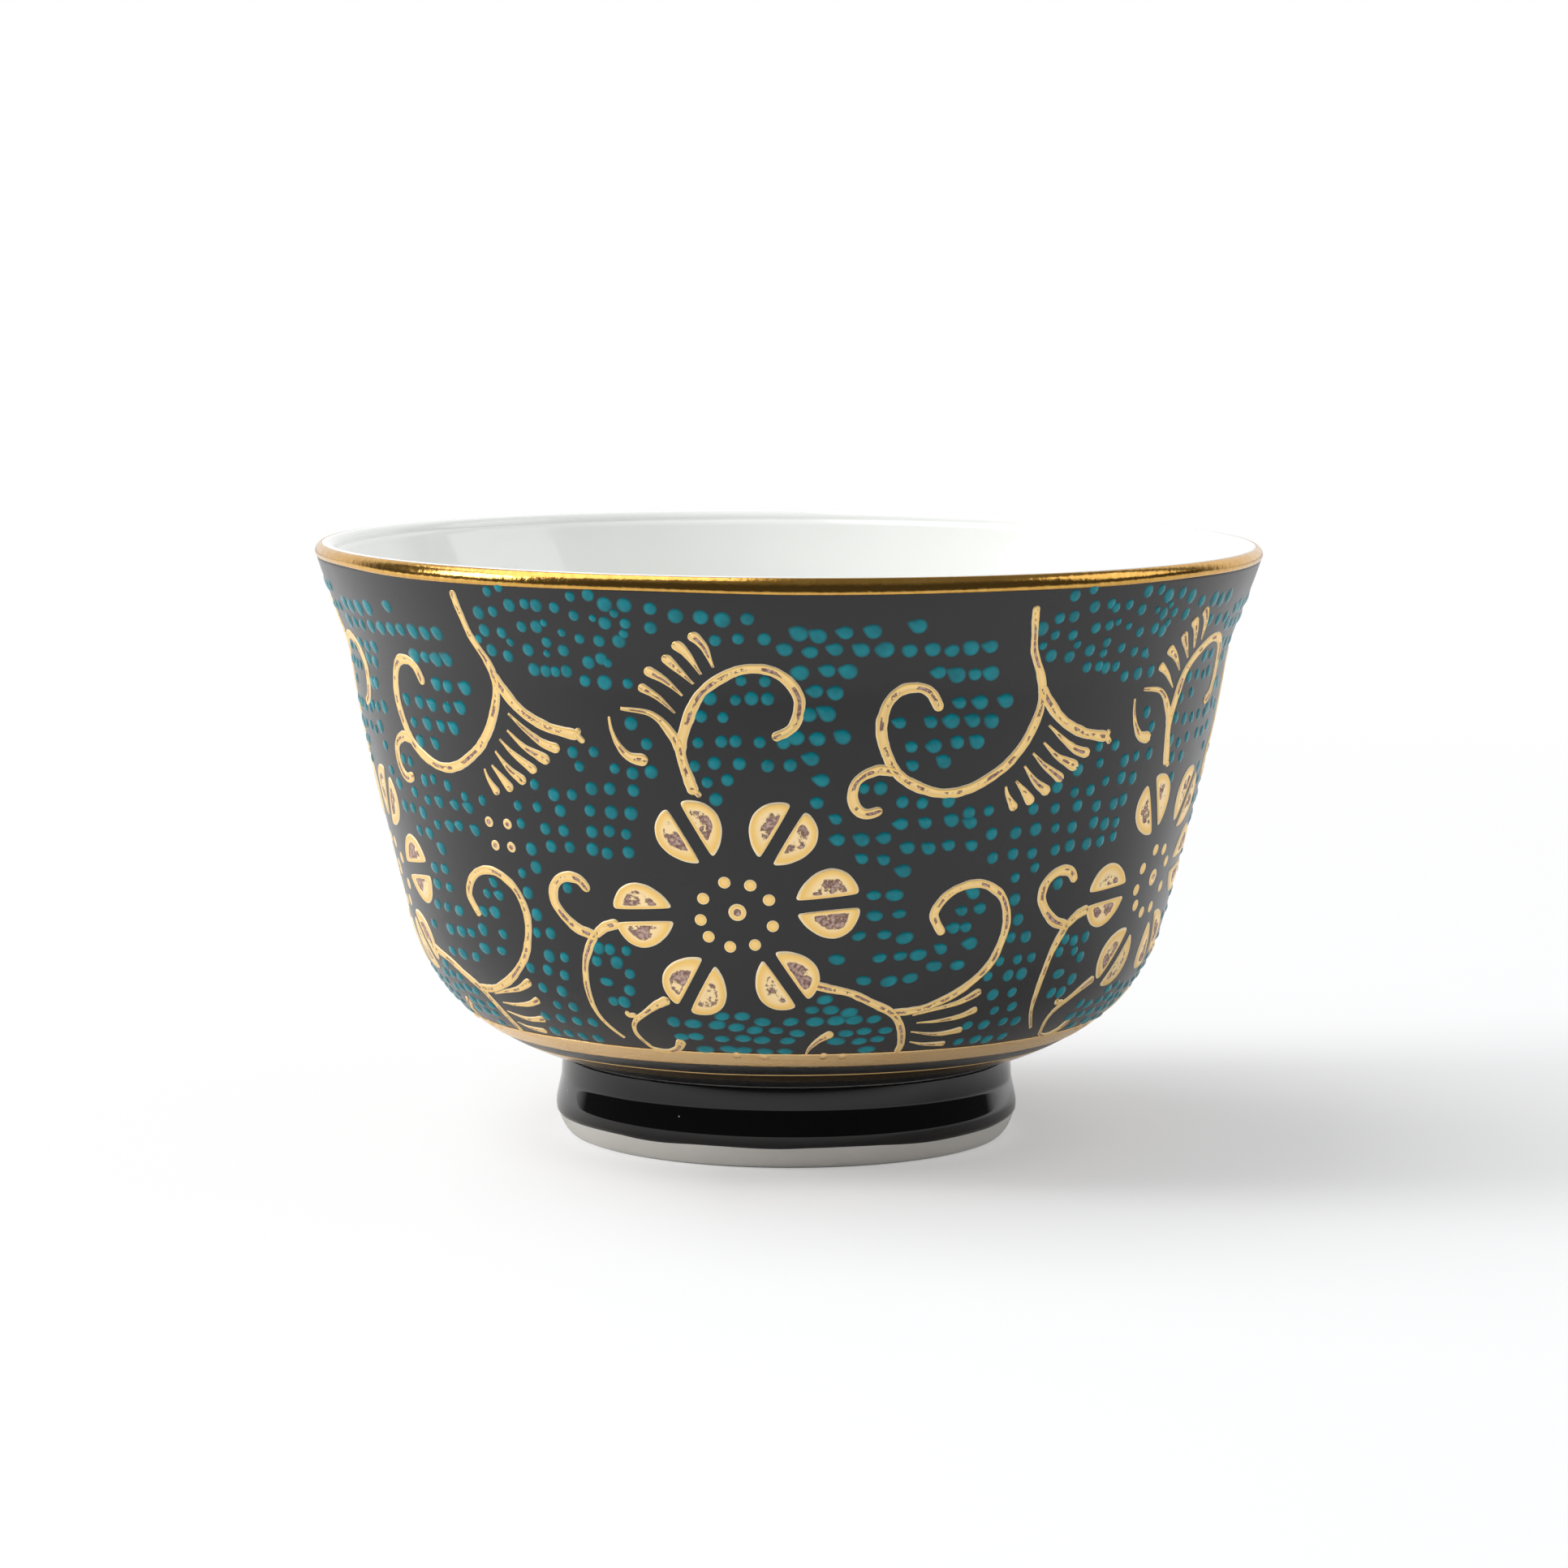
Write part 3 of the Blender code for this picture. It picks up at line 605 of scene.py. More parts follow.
FOOT_LINE = leaning_line([(FOOT_NECK, None, Vector((0.064, -0.67)) * MM),
                          (FOOT_CREASE, Vector((0.015, -0.67)) * MM, down * 0.22 * MM),
                          (FOOT_FACET, facet_slope * 1.1 * MM, facet_slope * 0.35 * MM),
                          (FOOT_BULGE, down * 0.3 * MM, down * 1.1 * MM),
                          (FOOT_LAND, Vector((-0.75 * MM, 0.0)), None)], [16, 16, 10, 16])
# How the glaze's edge rounds off: shares of its thickness inwards and upwards.
GLAZE_CURL = [(0.10, 0.55), (0.30, 0.22), (0.60, 0.05), (1.0, 0.0)]
# The bare ring under the glaze: upper and lower height, inset and rows of each part.
RING_PARTS = [(FOOT_NECK.y, 2.9 * MM, GLAZE_THICKNESS, SIDE_ROWS),
              (2.8 * MM, 2.2 * MM, GLAZE_THICKNESS * 0.6, 4), (2.1 * MM, 0.0, 0.12 * MM, 16)]


def foot_radius(height):
    """The foot's outer radius at a height."""
    for upper, lower in zip(FOOT_LINE, FOOT_LINE[1:]):
        if lower.y <= height <= upper.y:
            return lower.x + (upper.x - lower.x) * (height - lower.y) / max(upper.y - lower.y, LEAST_STEP)
    return FOOT_LINE[0].x


def foot_rows(top, bottom, inset, rows=SIDE_ROWS):
    """The foot's side between two heights, drawn in by an inset."""
    heights = [top + (bottom - top) * row / rows for row in range(rows + 1)]
    return [Vector((foot_radius(height) - inset, height)) for height in heights]


def glaze_profile(angle):
    """The glaze: down its face to the wavering, rounded edge, and back up inside."""
    edge = GLAZE_EDGE + waver(angle, GLAZE_WAVER, seed=3.0)
    face = foot_rows(FOOT_NECK.y, edge + GLAZE_THICKNESS, 0.0)
    curl = [Vector((foot_radius(edge) - GLAZE_THICKNESS * share, edge + GLAZE_THICKNESS * rise))
            for share, rise in GLAZE_CURL]
    return face + curl + list(reversed(foot_rows(FOOT_NECK.y, edge + GLAZE_THICKNESS, GLAZE_THICKNESS)))


ring_profile = [spot for part in RING_PARTS for spot in foot_rows(*part)]
ring_profile += [FOOT_LAND - Vector((LAND_WIDTH, 0.0)), Vector((RECESS_RADIUS + BEVEL_WIDTH, BEVEL_WIDTH)),
                 Vector((RECESS_RADIUS, BEVEL_TOP)), Vector((RECESS_RADIUS, FOOT_NECK.y))]
ring = turned("foot_ring", "bare", lambda angle: ring_profile, bare_porcelain)
dip = turned("foot_glaze", "dipped", glaze_profile, black_glaze)
print("foot:", len(ring.data.vertices), "and", len(dip.data.vertices), "points")

# %% [markdown]
# ## The coats on the bowl
# The black enamel runs from the foot to the gold of the lip. The gilded lip, the gold band under the
# painting and the narrow gold line under that are brushed on over it while the cup turns on a wheel, so
# their edges are even but not perfect. The lip's gold is a tall round with a small bead under it. Its
# widest place lies low in front and rises at the sides, as the stripes of light in it show.

# %% Enamel, lip and bands
COAT_THICKNESS = 0.4 * MM
ENAMEL_START = 0.24 * MM
ENAMEL_END = WALL_LENGTH - 0.2 * MM
LIP_SWELL = 1.25 * MM
LIP_BEAD = 0.28 * MM
LIP_SIDE_BEAD = 0.30 * MM
LIP_SIDE_RISE = 0.45 * MM
LIP_BEAD_END = 60
LIP_PROUD = 0.03 * MM
LIP_GOLD_BACK, BEAD_SHARE = 0.3 * MM, 0.8
LIP_WAVER = 0.22 * MM
LIP_TOP_WAVER = 3.0
LIP_STEPS, BEAD_STEPS = 16, 8
HEEL_LINE = (3.2 * MM, 5.8 * MM)
HEEL_PROUD = 0.015 * MM
GOLD_BAND = (8.0 * MM, 10.65 * MM)
BAND_PROUD = 0.05 * MM
BAND_WAVER = 0.14 * MM
BAND_PARTS = 12
UPPER_SEED = 5.0
OUTER_PARTS = 110


def lip_face(top, swell, bead_size, proud):
    """The gold's face: a tall round from the crest to its widest place, and a small round to the wall."""
    middle = Vector((RIM_RADIUS - LIP_THICKNESS / 2, CUP_HEIGHT - swell))
    bead = Vector((RIM_RADIUS - bead_size, middle.y))
    radius = bead_size + proud
    return (arc(middle, LIP_THICKNESS / 2 + proud, swell + proud, top, 0, LIP_STEPS)
            + arc(bead, radius, radius, 0, -LIP_BEAD_END, BEAD_STEPS)[1:])


def lip_profile(angle):
    """The gold lip: over the crest and down to its brushed lower edge, and back inside."""
    side = sin(angle) ** 2
    swell = LIP_SWELL - LIP_SIDE_RISE * side + waver(angle, LIP_WAVER, seed=7.0)
    bead = LIP_BEAD + LIP_SIDE_BEAD * side
    top = LIP_GOLD_TOP + waver(angle, LIP_TOP_WAVER, seed=9.0)
    inside = lip_face(top, swell, bead, -min(LIP_GOLD_BACK, bead * BEAD_SHARE))
    return lip_face(top, swell, bead, LIP_PROUD) + list(reversed(inside))


def band_profile(start, end, proud, seed):
    """A function that gives a gold band's profile at each angle, with brushed edges."""
    def profile(angle):
        low = start + waver(angle, BAND_WAVER, seed)
        high = end + waver(angle, BAND_WAVER, seed + UPPER_SEED)
        inside = wall_stretch(low + proud, high - proud, -BAND_PROUD, BAND_PARTS)
        return wall_stretch(low, high, proud, BAND_PARTS) + list(reversed(inside))
    return profile


enamel_profile = wall_stretch(ENAMEL_START, ENAMEL_END, 0.0, OUTER_PARTS)
enamel_profile += reversed(wall_stretch(ENAMEL_START, ENAMEL_END, -COAT_THICKNESS, INNER_PARTS))
enamel = turned("bowl_enamel", "black", lambda angle: enamel_profile, black_enamel)
lip_gold = turned("rim_gilding", "bright", lip_profile, bright_gold)
band = turned("gold_band", "satin", band_profile(*GOLD_BAND, BAND_PROUD, seed=11.0), satin_gold)
line = turned("heel_gold_line", "polished", band_profile(*HEEL_LINE, HEEL_PROUD, seed=23.0), polished_gold)
print("coats:", enamel.name, lip_gold.name, band.name, line.name)

# %% [markdown]
# ## Drawing the painting flat
# The painting is easiest to draw on flat paper and then bend round the cup. A place on the paper is given
# in degrees round from the flower and in hundredths of the painted field's height. Each repeat is the same
# drawing, set a little higher or lower where the painter's hand did so.

# %% Paper and wall
REPEATS = 5
FIRST_FLOWER = radians(-7.0)
TURNS = [FIRST_FLOWER + tau * repeat / REPEATS for repeat in range(REPEATS)]
PATTERN_RADIUS = 38.0 * MM
FIELD_START = GOLD_BAND[1]
FIELD_TOP_GAP = 0.7 * MM
FIELD_LENGTH = WALL_LENGTH - FIELD_TOP_GAP - FIELD_START
HAND_LIFTS = {"hanging_scroll_5": 0.7 * MM, "sprout_scroll_2": 0.7 * MM, "flower_2": 0.45 * MM,
              "left_branch_2": 0.3 * MM, "bottom_curl_2": 0.15 * MM}


def paper(spot):
    """A place of the painting, in degrees and hundredths, as metres on the flat paper."""
    return Vector((radians(spot[0]) * PATTERN_RADIUS, spot[1] / 100 * FIELD_LENGTH))


def wrap(point, height, turn, lift):
    """Bends a point of the paper round the cup, a height above the enamel; lift moves it up the wall."""
    radius, level = on_wall(FIELD_START + point.y + lift, height)
    angle = turn + point.x / PATTERN_RADIUS
    return (radius * sin(angle), -radius * cos(angle), level)


def wrapped_piece(name, flat, turn, material, mark, nodes=()):
    """Bends a flat mesh round the cup, at the height that the hand gave this repeat, and adds it."""
    points, faces, marks = flat
    lift = HAND_LIFTS.get(name, 0.0)
    verts = [wrap(point, height, turn, lift) for point, height in points]
    return add_piece(f"{name}_fired", verts, faces, material, nodes, {mark: marks})


def gathered(meshes):
    """Several flat meshes as one."""
    verts, faces, marks = [], [], []
    for more_verts, more_faces, more_marks in meshes:
        faces += [tuple(index + len(verts) for index in face) for face in more_faces]
        verts += more_verts
        marks += more_marks
    return verts, faces, marks


print("paper:", round(FIELD_LENGTH / MM, 2), "mm high,", REPEATS, "repeats of", 360 / REPEATS, "degrees")

# %% [markdown]
# A stroke could be a plain tube, but trailed enamel is not round. A stroke here is a smooth line through a
# few places, with a section like the real one: raised at its edges, and hollow along its middle. Its width
# shakes and its line sways a little, and fine nicks break its edges, so that no two stretches are alike.

# %% Strokes
EVEN, STEM, DROP, TAIL = "even", "stem", "drop", "tail"
ROOT = -0.04 * MM
LINE_STEP = 0.16 * MM
FULL_LINE = 0.50 * MM
LINE_HEIGHT = 0.12 * MM
FULL_HEIGHT_FROM = 0.6 * FULL_LINE
STEM_START, STEM_GROWTH = 0.62, 1.1
DROP_TIP, DROP_POWER = 0.20, 1.25
TAIL_LOSS = 0.68
LEAST_END = 0.02
# Each unevenness has its size, its length along the stroke and its own row of noise.
SHAKE, SHAKE_LENGTH, SHAKE_ROW = 0.20, 2.2 * MM, 0.0
SWAY, SWAY_LENGTH, SWAY_ROW = 0.07 * MM, 2.6 * MM, 9.0
NICK, NICK_LENGTH, NICK_ROWS = 0.09, 0.7 * MM, (20.0, 30.0)
HOLLOW_EDGE, HOLLOW_FADE = 0.62, 0.30
SECTION = [(-1.0, 0.0), (-0.90, 0.55), (-0.74, 0.90), (-0.55, 1.0), (-0.28, 0.86), (0.0, 0.74),
           (0.28, 0.86), (0.55, 1.0), (0.74, 0.90), (0.90, 0.55), (1.0, 0.0)]


def smooth_line(knots, closed=False):
    """Points a small step apart on a smooth line through the knots."""
    count = len(knots)
    points = []
    for index in range(count if closed else count - 1):
        before = knots[index - 1] if index or closed else knots[0]
        start, end = knots[index], knots[(index + 1) % count]
        after = knots[(index + 2) % count] if index + 2 < count or closed else knots[-1]
        parts = max(2, round((end - start).length / LINE_STEP))
        points += interpolate_bezier(start, start + (end - before) / 6, end - (after - start) / 6, end,
                                     parts + 1)[:-1]
    return points if closed else points + [knots[-1]]


def stroke_width(kind, run, length, half_width):
    """A brush stroke's half width at a run along it: round ends, or one end drawn out to a tip."""
    share = run / length
    swells = {EVEN: 1.0, STEM: min(1.0, STEM_START + STEM_GROWTH * share),
              DROP: DROP_TIP + (1 - DROP_TIP) * share ** DROP_POWER, TAIL: 1.0 - TAIL_LOSS * share}
    round_ends = {EVEN: [run, length - run], STEM: [run, length - run], DROP: [length - run], TAIL: [run]}
    width = half_width * swells[kind]
    for end in round_ends[kind]:
        near = min(end / width, 1.0)
        width *= sqrt(max(LEAST_END, 1 - (1 - near) ** 2))
    return width


def drift(run, pace, seed, row):
    """A smooth random value along a stroke, between about -1 and 1."""
    return noise.noise(Vector((run / pace, seed, row)))


def stroke_mesh(kind, spots, half_width, seed):
    """A brush stroke on flat paper: points with a height, faces, and how hollow each point is."""
    points = smooth_line([paper(spot) for spot in spots])
    runs = running_lengths(points)
    verts, hollow = [], []
    for index, (point, run) in enumerate(zip(points, runs)):
        along = points[min(index + 1, len(points) - 1)] - points[max(index - 1, 0)]
        side = Vector((-along.y, along.x)).normalized()
        sway = drift(run, SWAY_LENGTH, seed, SWAY_ROW) * SWAY
        shake = 1 + SHAKE * drift(run, SHAKE_LENGTH, seed, SHAKE_ROW)
        width = stroke_width(kind, run, runs[-1], half_width) * shake
        rise = LINE_HEIGHT * min(1.0, width / FULL_HEIGHT_FROM)
        nicks = [1 + NICK * drift(run, NICK_LENGTH, seed, row) for row in NICK_ROWS]
        for across, lift in SECTION:
            reach = across * width * nicks[across > 0] + sway
            verts.append((point + side * reach, ROOT + (rise - ROOT) * lift))
            hollow.append(max(-1.0, min(1.0, (HOLLOW_EDGE - abs(across)) / HOLLOW_FADE)))
    ring = len(SECTION)
    faces = ring_faces(len(points), ring)
    faces += [tuple(range(ring)), tuple(range(len(verts) - ring, len(verts)))]
    return verts, faces, hollow


print("strokes: section of", len(SECTION), "points, every", round(LINE_STEP / MM, 2), "mm")

# %% [markdown]
# ## The scrolls
# Each repeat has a scroll that hangs from the rim, one that sprouts over the flower, and three that grow
# from the petals. Every scroll is one piece of several strokes. The feathers beside them are drops:
# pressed down at one end and drawn off to a tip.

# %% Draw the scrolls
# Each stroke has its kind, its half width and the places that it runs through.
SLIM_LINE = 0.44 * MM
FINE_LINE = 0.3 * MM
SPUR_LINE = 0.28 * MM
FEATHER = 0.62 * MM
SMALL_FEATHER = FEATHER * 0.8
SLIM_FEATHER = 0.46 * MM
SEED_STEP = 3.7
SCROLLS = {
    "hanging_scroll": [
        (STEM, FULL_LINE, [(36.5, 97), (37, 92), (37.5, 87.5), (39.3, 82), (40, 77), (39.3, 72),
                           (37.5, 67), (35, 63), (31, 59.6), (27.5, 58.6), (24, 60), (21, 62.8),
                           (19.2, 67.5), (18.5, 72.5), (19.3, 77.5), (21.5, 80.2), (24.2, 79.6),
                           (26, 75.5)]),
        (EVEN, FULL_LINE, [(20.8, 63.2), (18.4, 63.8), (16, 62), (15.2, 59), (15.7, 56.2), (17, 54.8),
                           (19.2, 55.6)]),
        (EVEN, FULL_LINE, [(39.6, 79.5), (41.5, 75.5), (44, 72), (47.5, 69.3), (52, 68)]),
        (DROP, FEATHER, [(41.5, 71.5), (44, 68.5), (46.5, 66), (49, 65)]),
        (DROP, FEATHER, [(41, 68), (43.5, 65), (47.2, 62.2)]),
        (DROP, FEATHER, [(39.5, 66), (42, 63), (45, 60)]),
        (DROP, FEATHER, [(38.5, 63.5), (40.5, 60), (43, 57.5)]),
        (DROP, FEATHER, [(37.5, 60.5), (39, 58), (40.5, 55.5)]),
        (DROP, FEATHER, [(36, 59.5), (36.5, 57.5), (38, 54.5)]),
        (EVEN, FINE_LINE, [(52.1, 69.6), (51.7, 68.2), (52.6, 66.6)]),
    ],
    "sprout_scroll": [
        (EVEN, FULL_LINE, [(-4.9, 58.6), (-5.8, 62.5), (-6.4, 68), (-5.5, 73.5), (-3.5, 79.3), (0, 83.3),
                           (3.5, 84.4), (6.5, 82.5), (8.3, 77.8), (7.6, 72.6), (5, 70.3)]),
        (EVEN, SPUR_LINE, [(-5.6, 58.9), (-4.9, 59.3), (-4.2, 58.1)]),
        (TAIL, FULL_LINE, [(-6.3, 67), (-7.6, 71), (-10, 74.6), (-14, 75.6)]),
        (DROP, FEATHER, [(-2, 84.5), (-3, 89), (-4.5, 91.8)]),
        (DROP, FEATHER, [(-3.5, 83), (-5, 87), (-6.5, 89.8)]),
        (DROP, FEATHER, [(-4.5, 81), (-6.5, 84), (-8, 86.8)]),
        (DROP, FEATHER, [(-6, 78.5), (-8, 81.5), (-10.5, 83.8)]),
        (DROP, SMALL_FEATHER, [(-7, 75), (-9, 78), (-11.5, 80.2)]),
        (DROP, FEATHER, [(-15.7, 73.8), (-15.4, 71), (-14.5, 68), (-13.1, 65.8), (-10.8, 65.3)]),
    ],
    "right_branch": [
        (EVEN, SLIM_LINE, [(10.8, 19), (16, 17), (20.5, 14), (23.5, 11.2), (25.2, 7.3), (26, 3),
                           (26, -0.4)]),
        (EVEN, SLIM_LINE, [(22.8, 12), (26, 12.2), (29.5, 13.6), (34, 17), (37.8, 22.5), (39.3, 29.5),
                           (38.2, 35.7), (34.3, 39.4), (30, 38), (27.6, 33.5), (29.3, 29)]),
        (DROP, SLIM_FEATHER, [(26.5, 11), (30, 12.3), (34, 13.8), (37.1, 16)]),
        (DROP, SLIM_FEATHER, [(27.5, 8.9), (31, 9.1), (34.5, 9.9), (37.4, 11.6)]),
        (DROP, SLIM_FEATHER, [(27, 6.4), (30, 5.6), (32.8, 5.3), (36.2, 6.2)]),
        (DROP, SLIM_FEATHER, [(27.5, 3.2), (30.5, 2.3), (34.3, 2)]),
    ],
    "left_branch": [
        (EVEN, FULL_LINE, [(-17, 30.9), (-19.3, 29.8), (-21.3, 27.8)]),
        (TAIL, FULL_LINE, [(-21.1, 28.3), (-23.2, 22.5), (-24, 15.5), (-23.4, 9), (-20.6, 3.2)]),
        (EVEN, FULL_LINE, [(-20.7, 27.6), (-24.4, 29.6), (-27, 33.8), (-26.8, 37.6), (-25, 39.7),
                           (-22.8, 39.6), (-21.2, 37.2)]),
    ],
    "bottom_curl": [
        (TAIL, FULL_LINE, [(-10.7, 14.9), (-14, 12.2), (-17, 9), (-17.9, 6), (-17.4, 3.2), (-16.4, 1.2)]),
        (EVEN, FINE_LINE, [(-16.6, 10.3), (-17.9, 10.2), (-18.3, 11.2)]),
        (DROP, FEATHER, [(-17.4, 2.8), (-16.2, 0.6), (-13.9, -0.4), (-11.6, 0.8), (-10.2, 3.9)]),
        (DROP, FEATHER, [(10.2, -0.6), (10.8, 2.2), (12.2, 4.8), (14.3, 6.9)]),
    ],
}
gold_points = []
for name, strokes in SCROLLS.items():
    flat = gathered([stroke_mesh(kind, spots, width, number * SEED_STEP)
                     for number, (kind, width, spots) in enumerate(strokes)])
    for repeat, turn in enumerate(TURNS, 1):
        wrapped_piece(f"{name}_{repeat}", flat, turn, gilded_line, HOLLOW_MARK,
                      [f"{name}_{repeat}"])
    gold_points += [point for point, height in flat[0]]
    print(name, "has", len(strokes), "strokes and", len(flat[0]), "points")

# %% [markdown]
# ## The flowers
# A flower has six petals, each split along its middle into two halves, and seeds in its heart. A half
# petal is a raised rim round a shallow tray, where the gold is mottled. It is made of rings: the same
# outline again and again, each drawn a little further in and at its own height. A seed is made the same
# way from a circle.

# %% Petals and seeds
FLOWER_PLACE = (0.15, 34.3)
PETAL_MIDDLE = 8.6 * MM
PETAL_ANGLES = [118.0, 61.6, 6.0, -56.0, -120.5, 184.0]
PETAL_REACH = [8.45, 8.45, 8.25, 7.9, 8.5, 8.9]
PETAL_FULLNESS = [1.0, 1.0, 1.14, 1.06, 1.1, 1.04]
PETAL_HEIGHT = 0.12 * MM
PETAL_SPLIT = 0.58
# A half petal's outline and the middle of its tray, in millimetres along the petal and off its middle line.
HALF_PETAL = [(5.8, 0.72), (6.4, 0.60), (8.6, 0.58), (10.8, 0.62), (11.45, 0.80), (11.3, 1.55), (10.5, 2.55),
              (9.2, 3.05), (7.8, 2.80), (6.6, 2.0), (5.95, 1.2)]
TRAY_MIDDLE = (9.1, 1.35)
# Rings: a share of the way in to the middle, a share of the full height, and the hollow mark.
TRAY = [(0.0, 0.0, -1.0), (0.03, 0.6, -1.0), (0.08, 0.92, -0.5), (0.14, 1.0, 0.0), (0.26, 0.94, 0.3),
        (0.38, 0.82, 0.7), (0.50, 0.76, 1.0), (0.78, 0.76, 1.0), (0.97, 0.76, 1.0)]
SEEDS = [(-1.5, 40.5), (2, 40), (4.5, 37), (5, 31.5), (2.5, 27.5), (-1, 27), (-4, 29), (-5, 32.5),
         (-4.5, 37)]
HEART_SEED, HEART_HOLLOW = 0.88 * MM, 1.0
SMALL_SEED, SMALL_HOLLOW = 0.6 * MM, 0.4
SEED_SIDES = 20


def ringed(outline, middle, rings, height):
    """A raised shape on flat paper: its outline drawn in towards its middle, ring by ring."""
    verts, marks = [], []
    for inward, lift, mark in rings:
        verts += [(point.lerp(middle, inward), ROOT + (height - ROOT) * lift) for point in outline]
        marks += [mark] * len(outline)
    faces = ring_faces(len(rings), len(outline))
    faces.append(tuple(range(len(verts) - len(outline), len(verts))))
    return verts, faces, marks


def half_petal(number, half):
    """One half petal on flat paper, at its own angle and reach from the flower's heart."""
    turn = Matrix.Rotation(radians(PETAL_ANGLES[number]), 2)
    shift = PETAL_REACH[number] * MM - PETAL_MIDDLE
    spots = []
    for along, off in HALF_PETAL + [TRAY_MIDDLE]:
        fuller = PETAL_SPLIT + (off - PETAL_SPLIT) * PETAL_FULLNESS[number]
        spots.append(paper(FLOWER_PLACE) + turn @ Vector((along * MM + shift, fuller * MM * half)))
    return ringed(smooth_line(spots[:-1], closed=True), spots[-1], TRAY, PETAL_HEIGHT)


def circle(middle, radius, sides):
    """Points on a circle on flat paper."""
    return arc(middle, radius, radius, 0, 360, sides)[:-1]


def seed_disc(middle, radius, hollow):
    """A round seed on flat paper, hollow in the middle by the given mark."""
    rings = [(0.0, 0.0, -1.0), (0.10, 0.35, -0.9), (0.24, 0.48, -0.2), (0.42, 0.50, 0.3 * hollow),
             (0.62, 0.48, hollow), (0.95, 0.46, hollow)]
    return ringed(circle(middle, radius, SEED_SIDES), middle, rings, PETAL_HEIGHT)


flower = gathered([half_petal(number, half) for number in range(len(PETAL_ANGLES)) for half in (-1, 1)]
                  + [seed_disc(paper(FLOWER_PLACE), HEART_SEED, HEART_HOLLOW)]
                  + [seed_disc(paper(spot), SMALL_SEED, SMALL_HOLLOW) for spot in SEEDS])
for repeat, turn in enumerate(TURNS, 1):
    wrapped_piece(f"flower_{repeat}", flower, turn, gilded_petal, HOLLOW_MARK)
gold_points += [point for point, height in flower[0]]
print("flowers:", REPEATS, "of", len(flower[0]), "points")

# %% [markdown]
# ## The teal dots
# The ground is filled with drops of teal enamel, set one by one in rough rows: round ones, small and big,
# tears that were drawn out to a tail, and dashes. The rows are read off the cup as heights above the table
# with places across, in millimetres, and a little seeded scatter stands for the hand.

# %% Rows of dots
SMALL, ROUND, BIG, TEAR, DASH = "small", "round", "big", "tear", "dash"
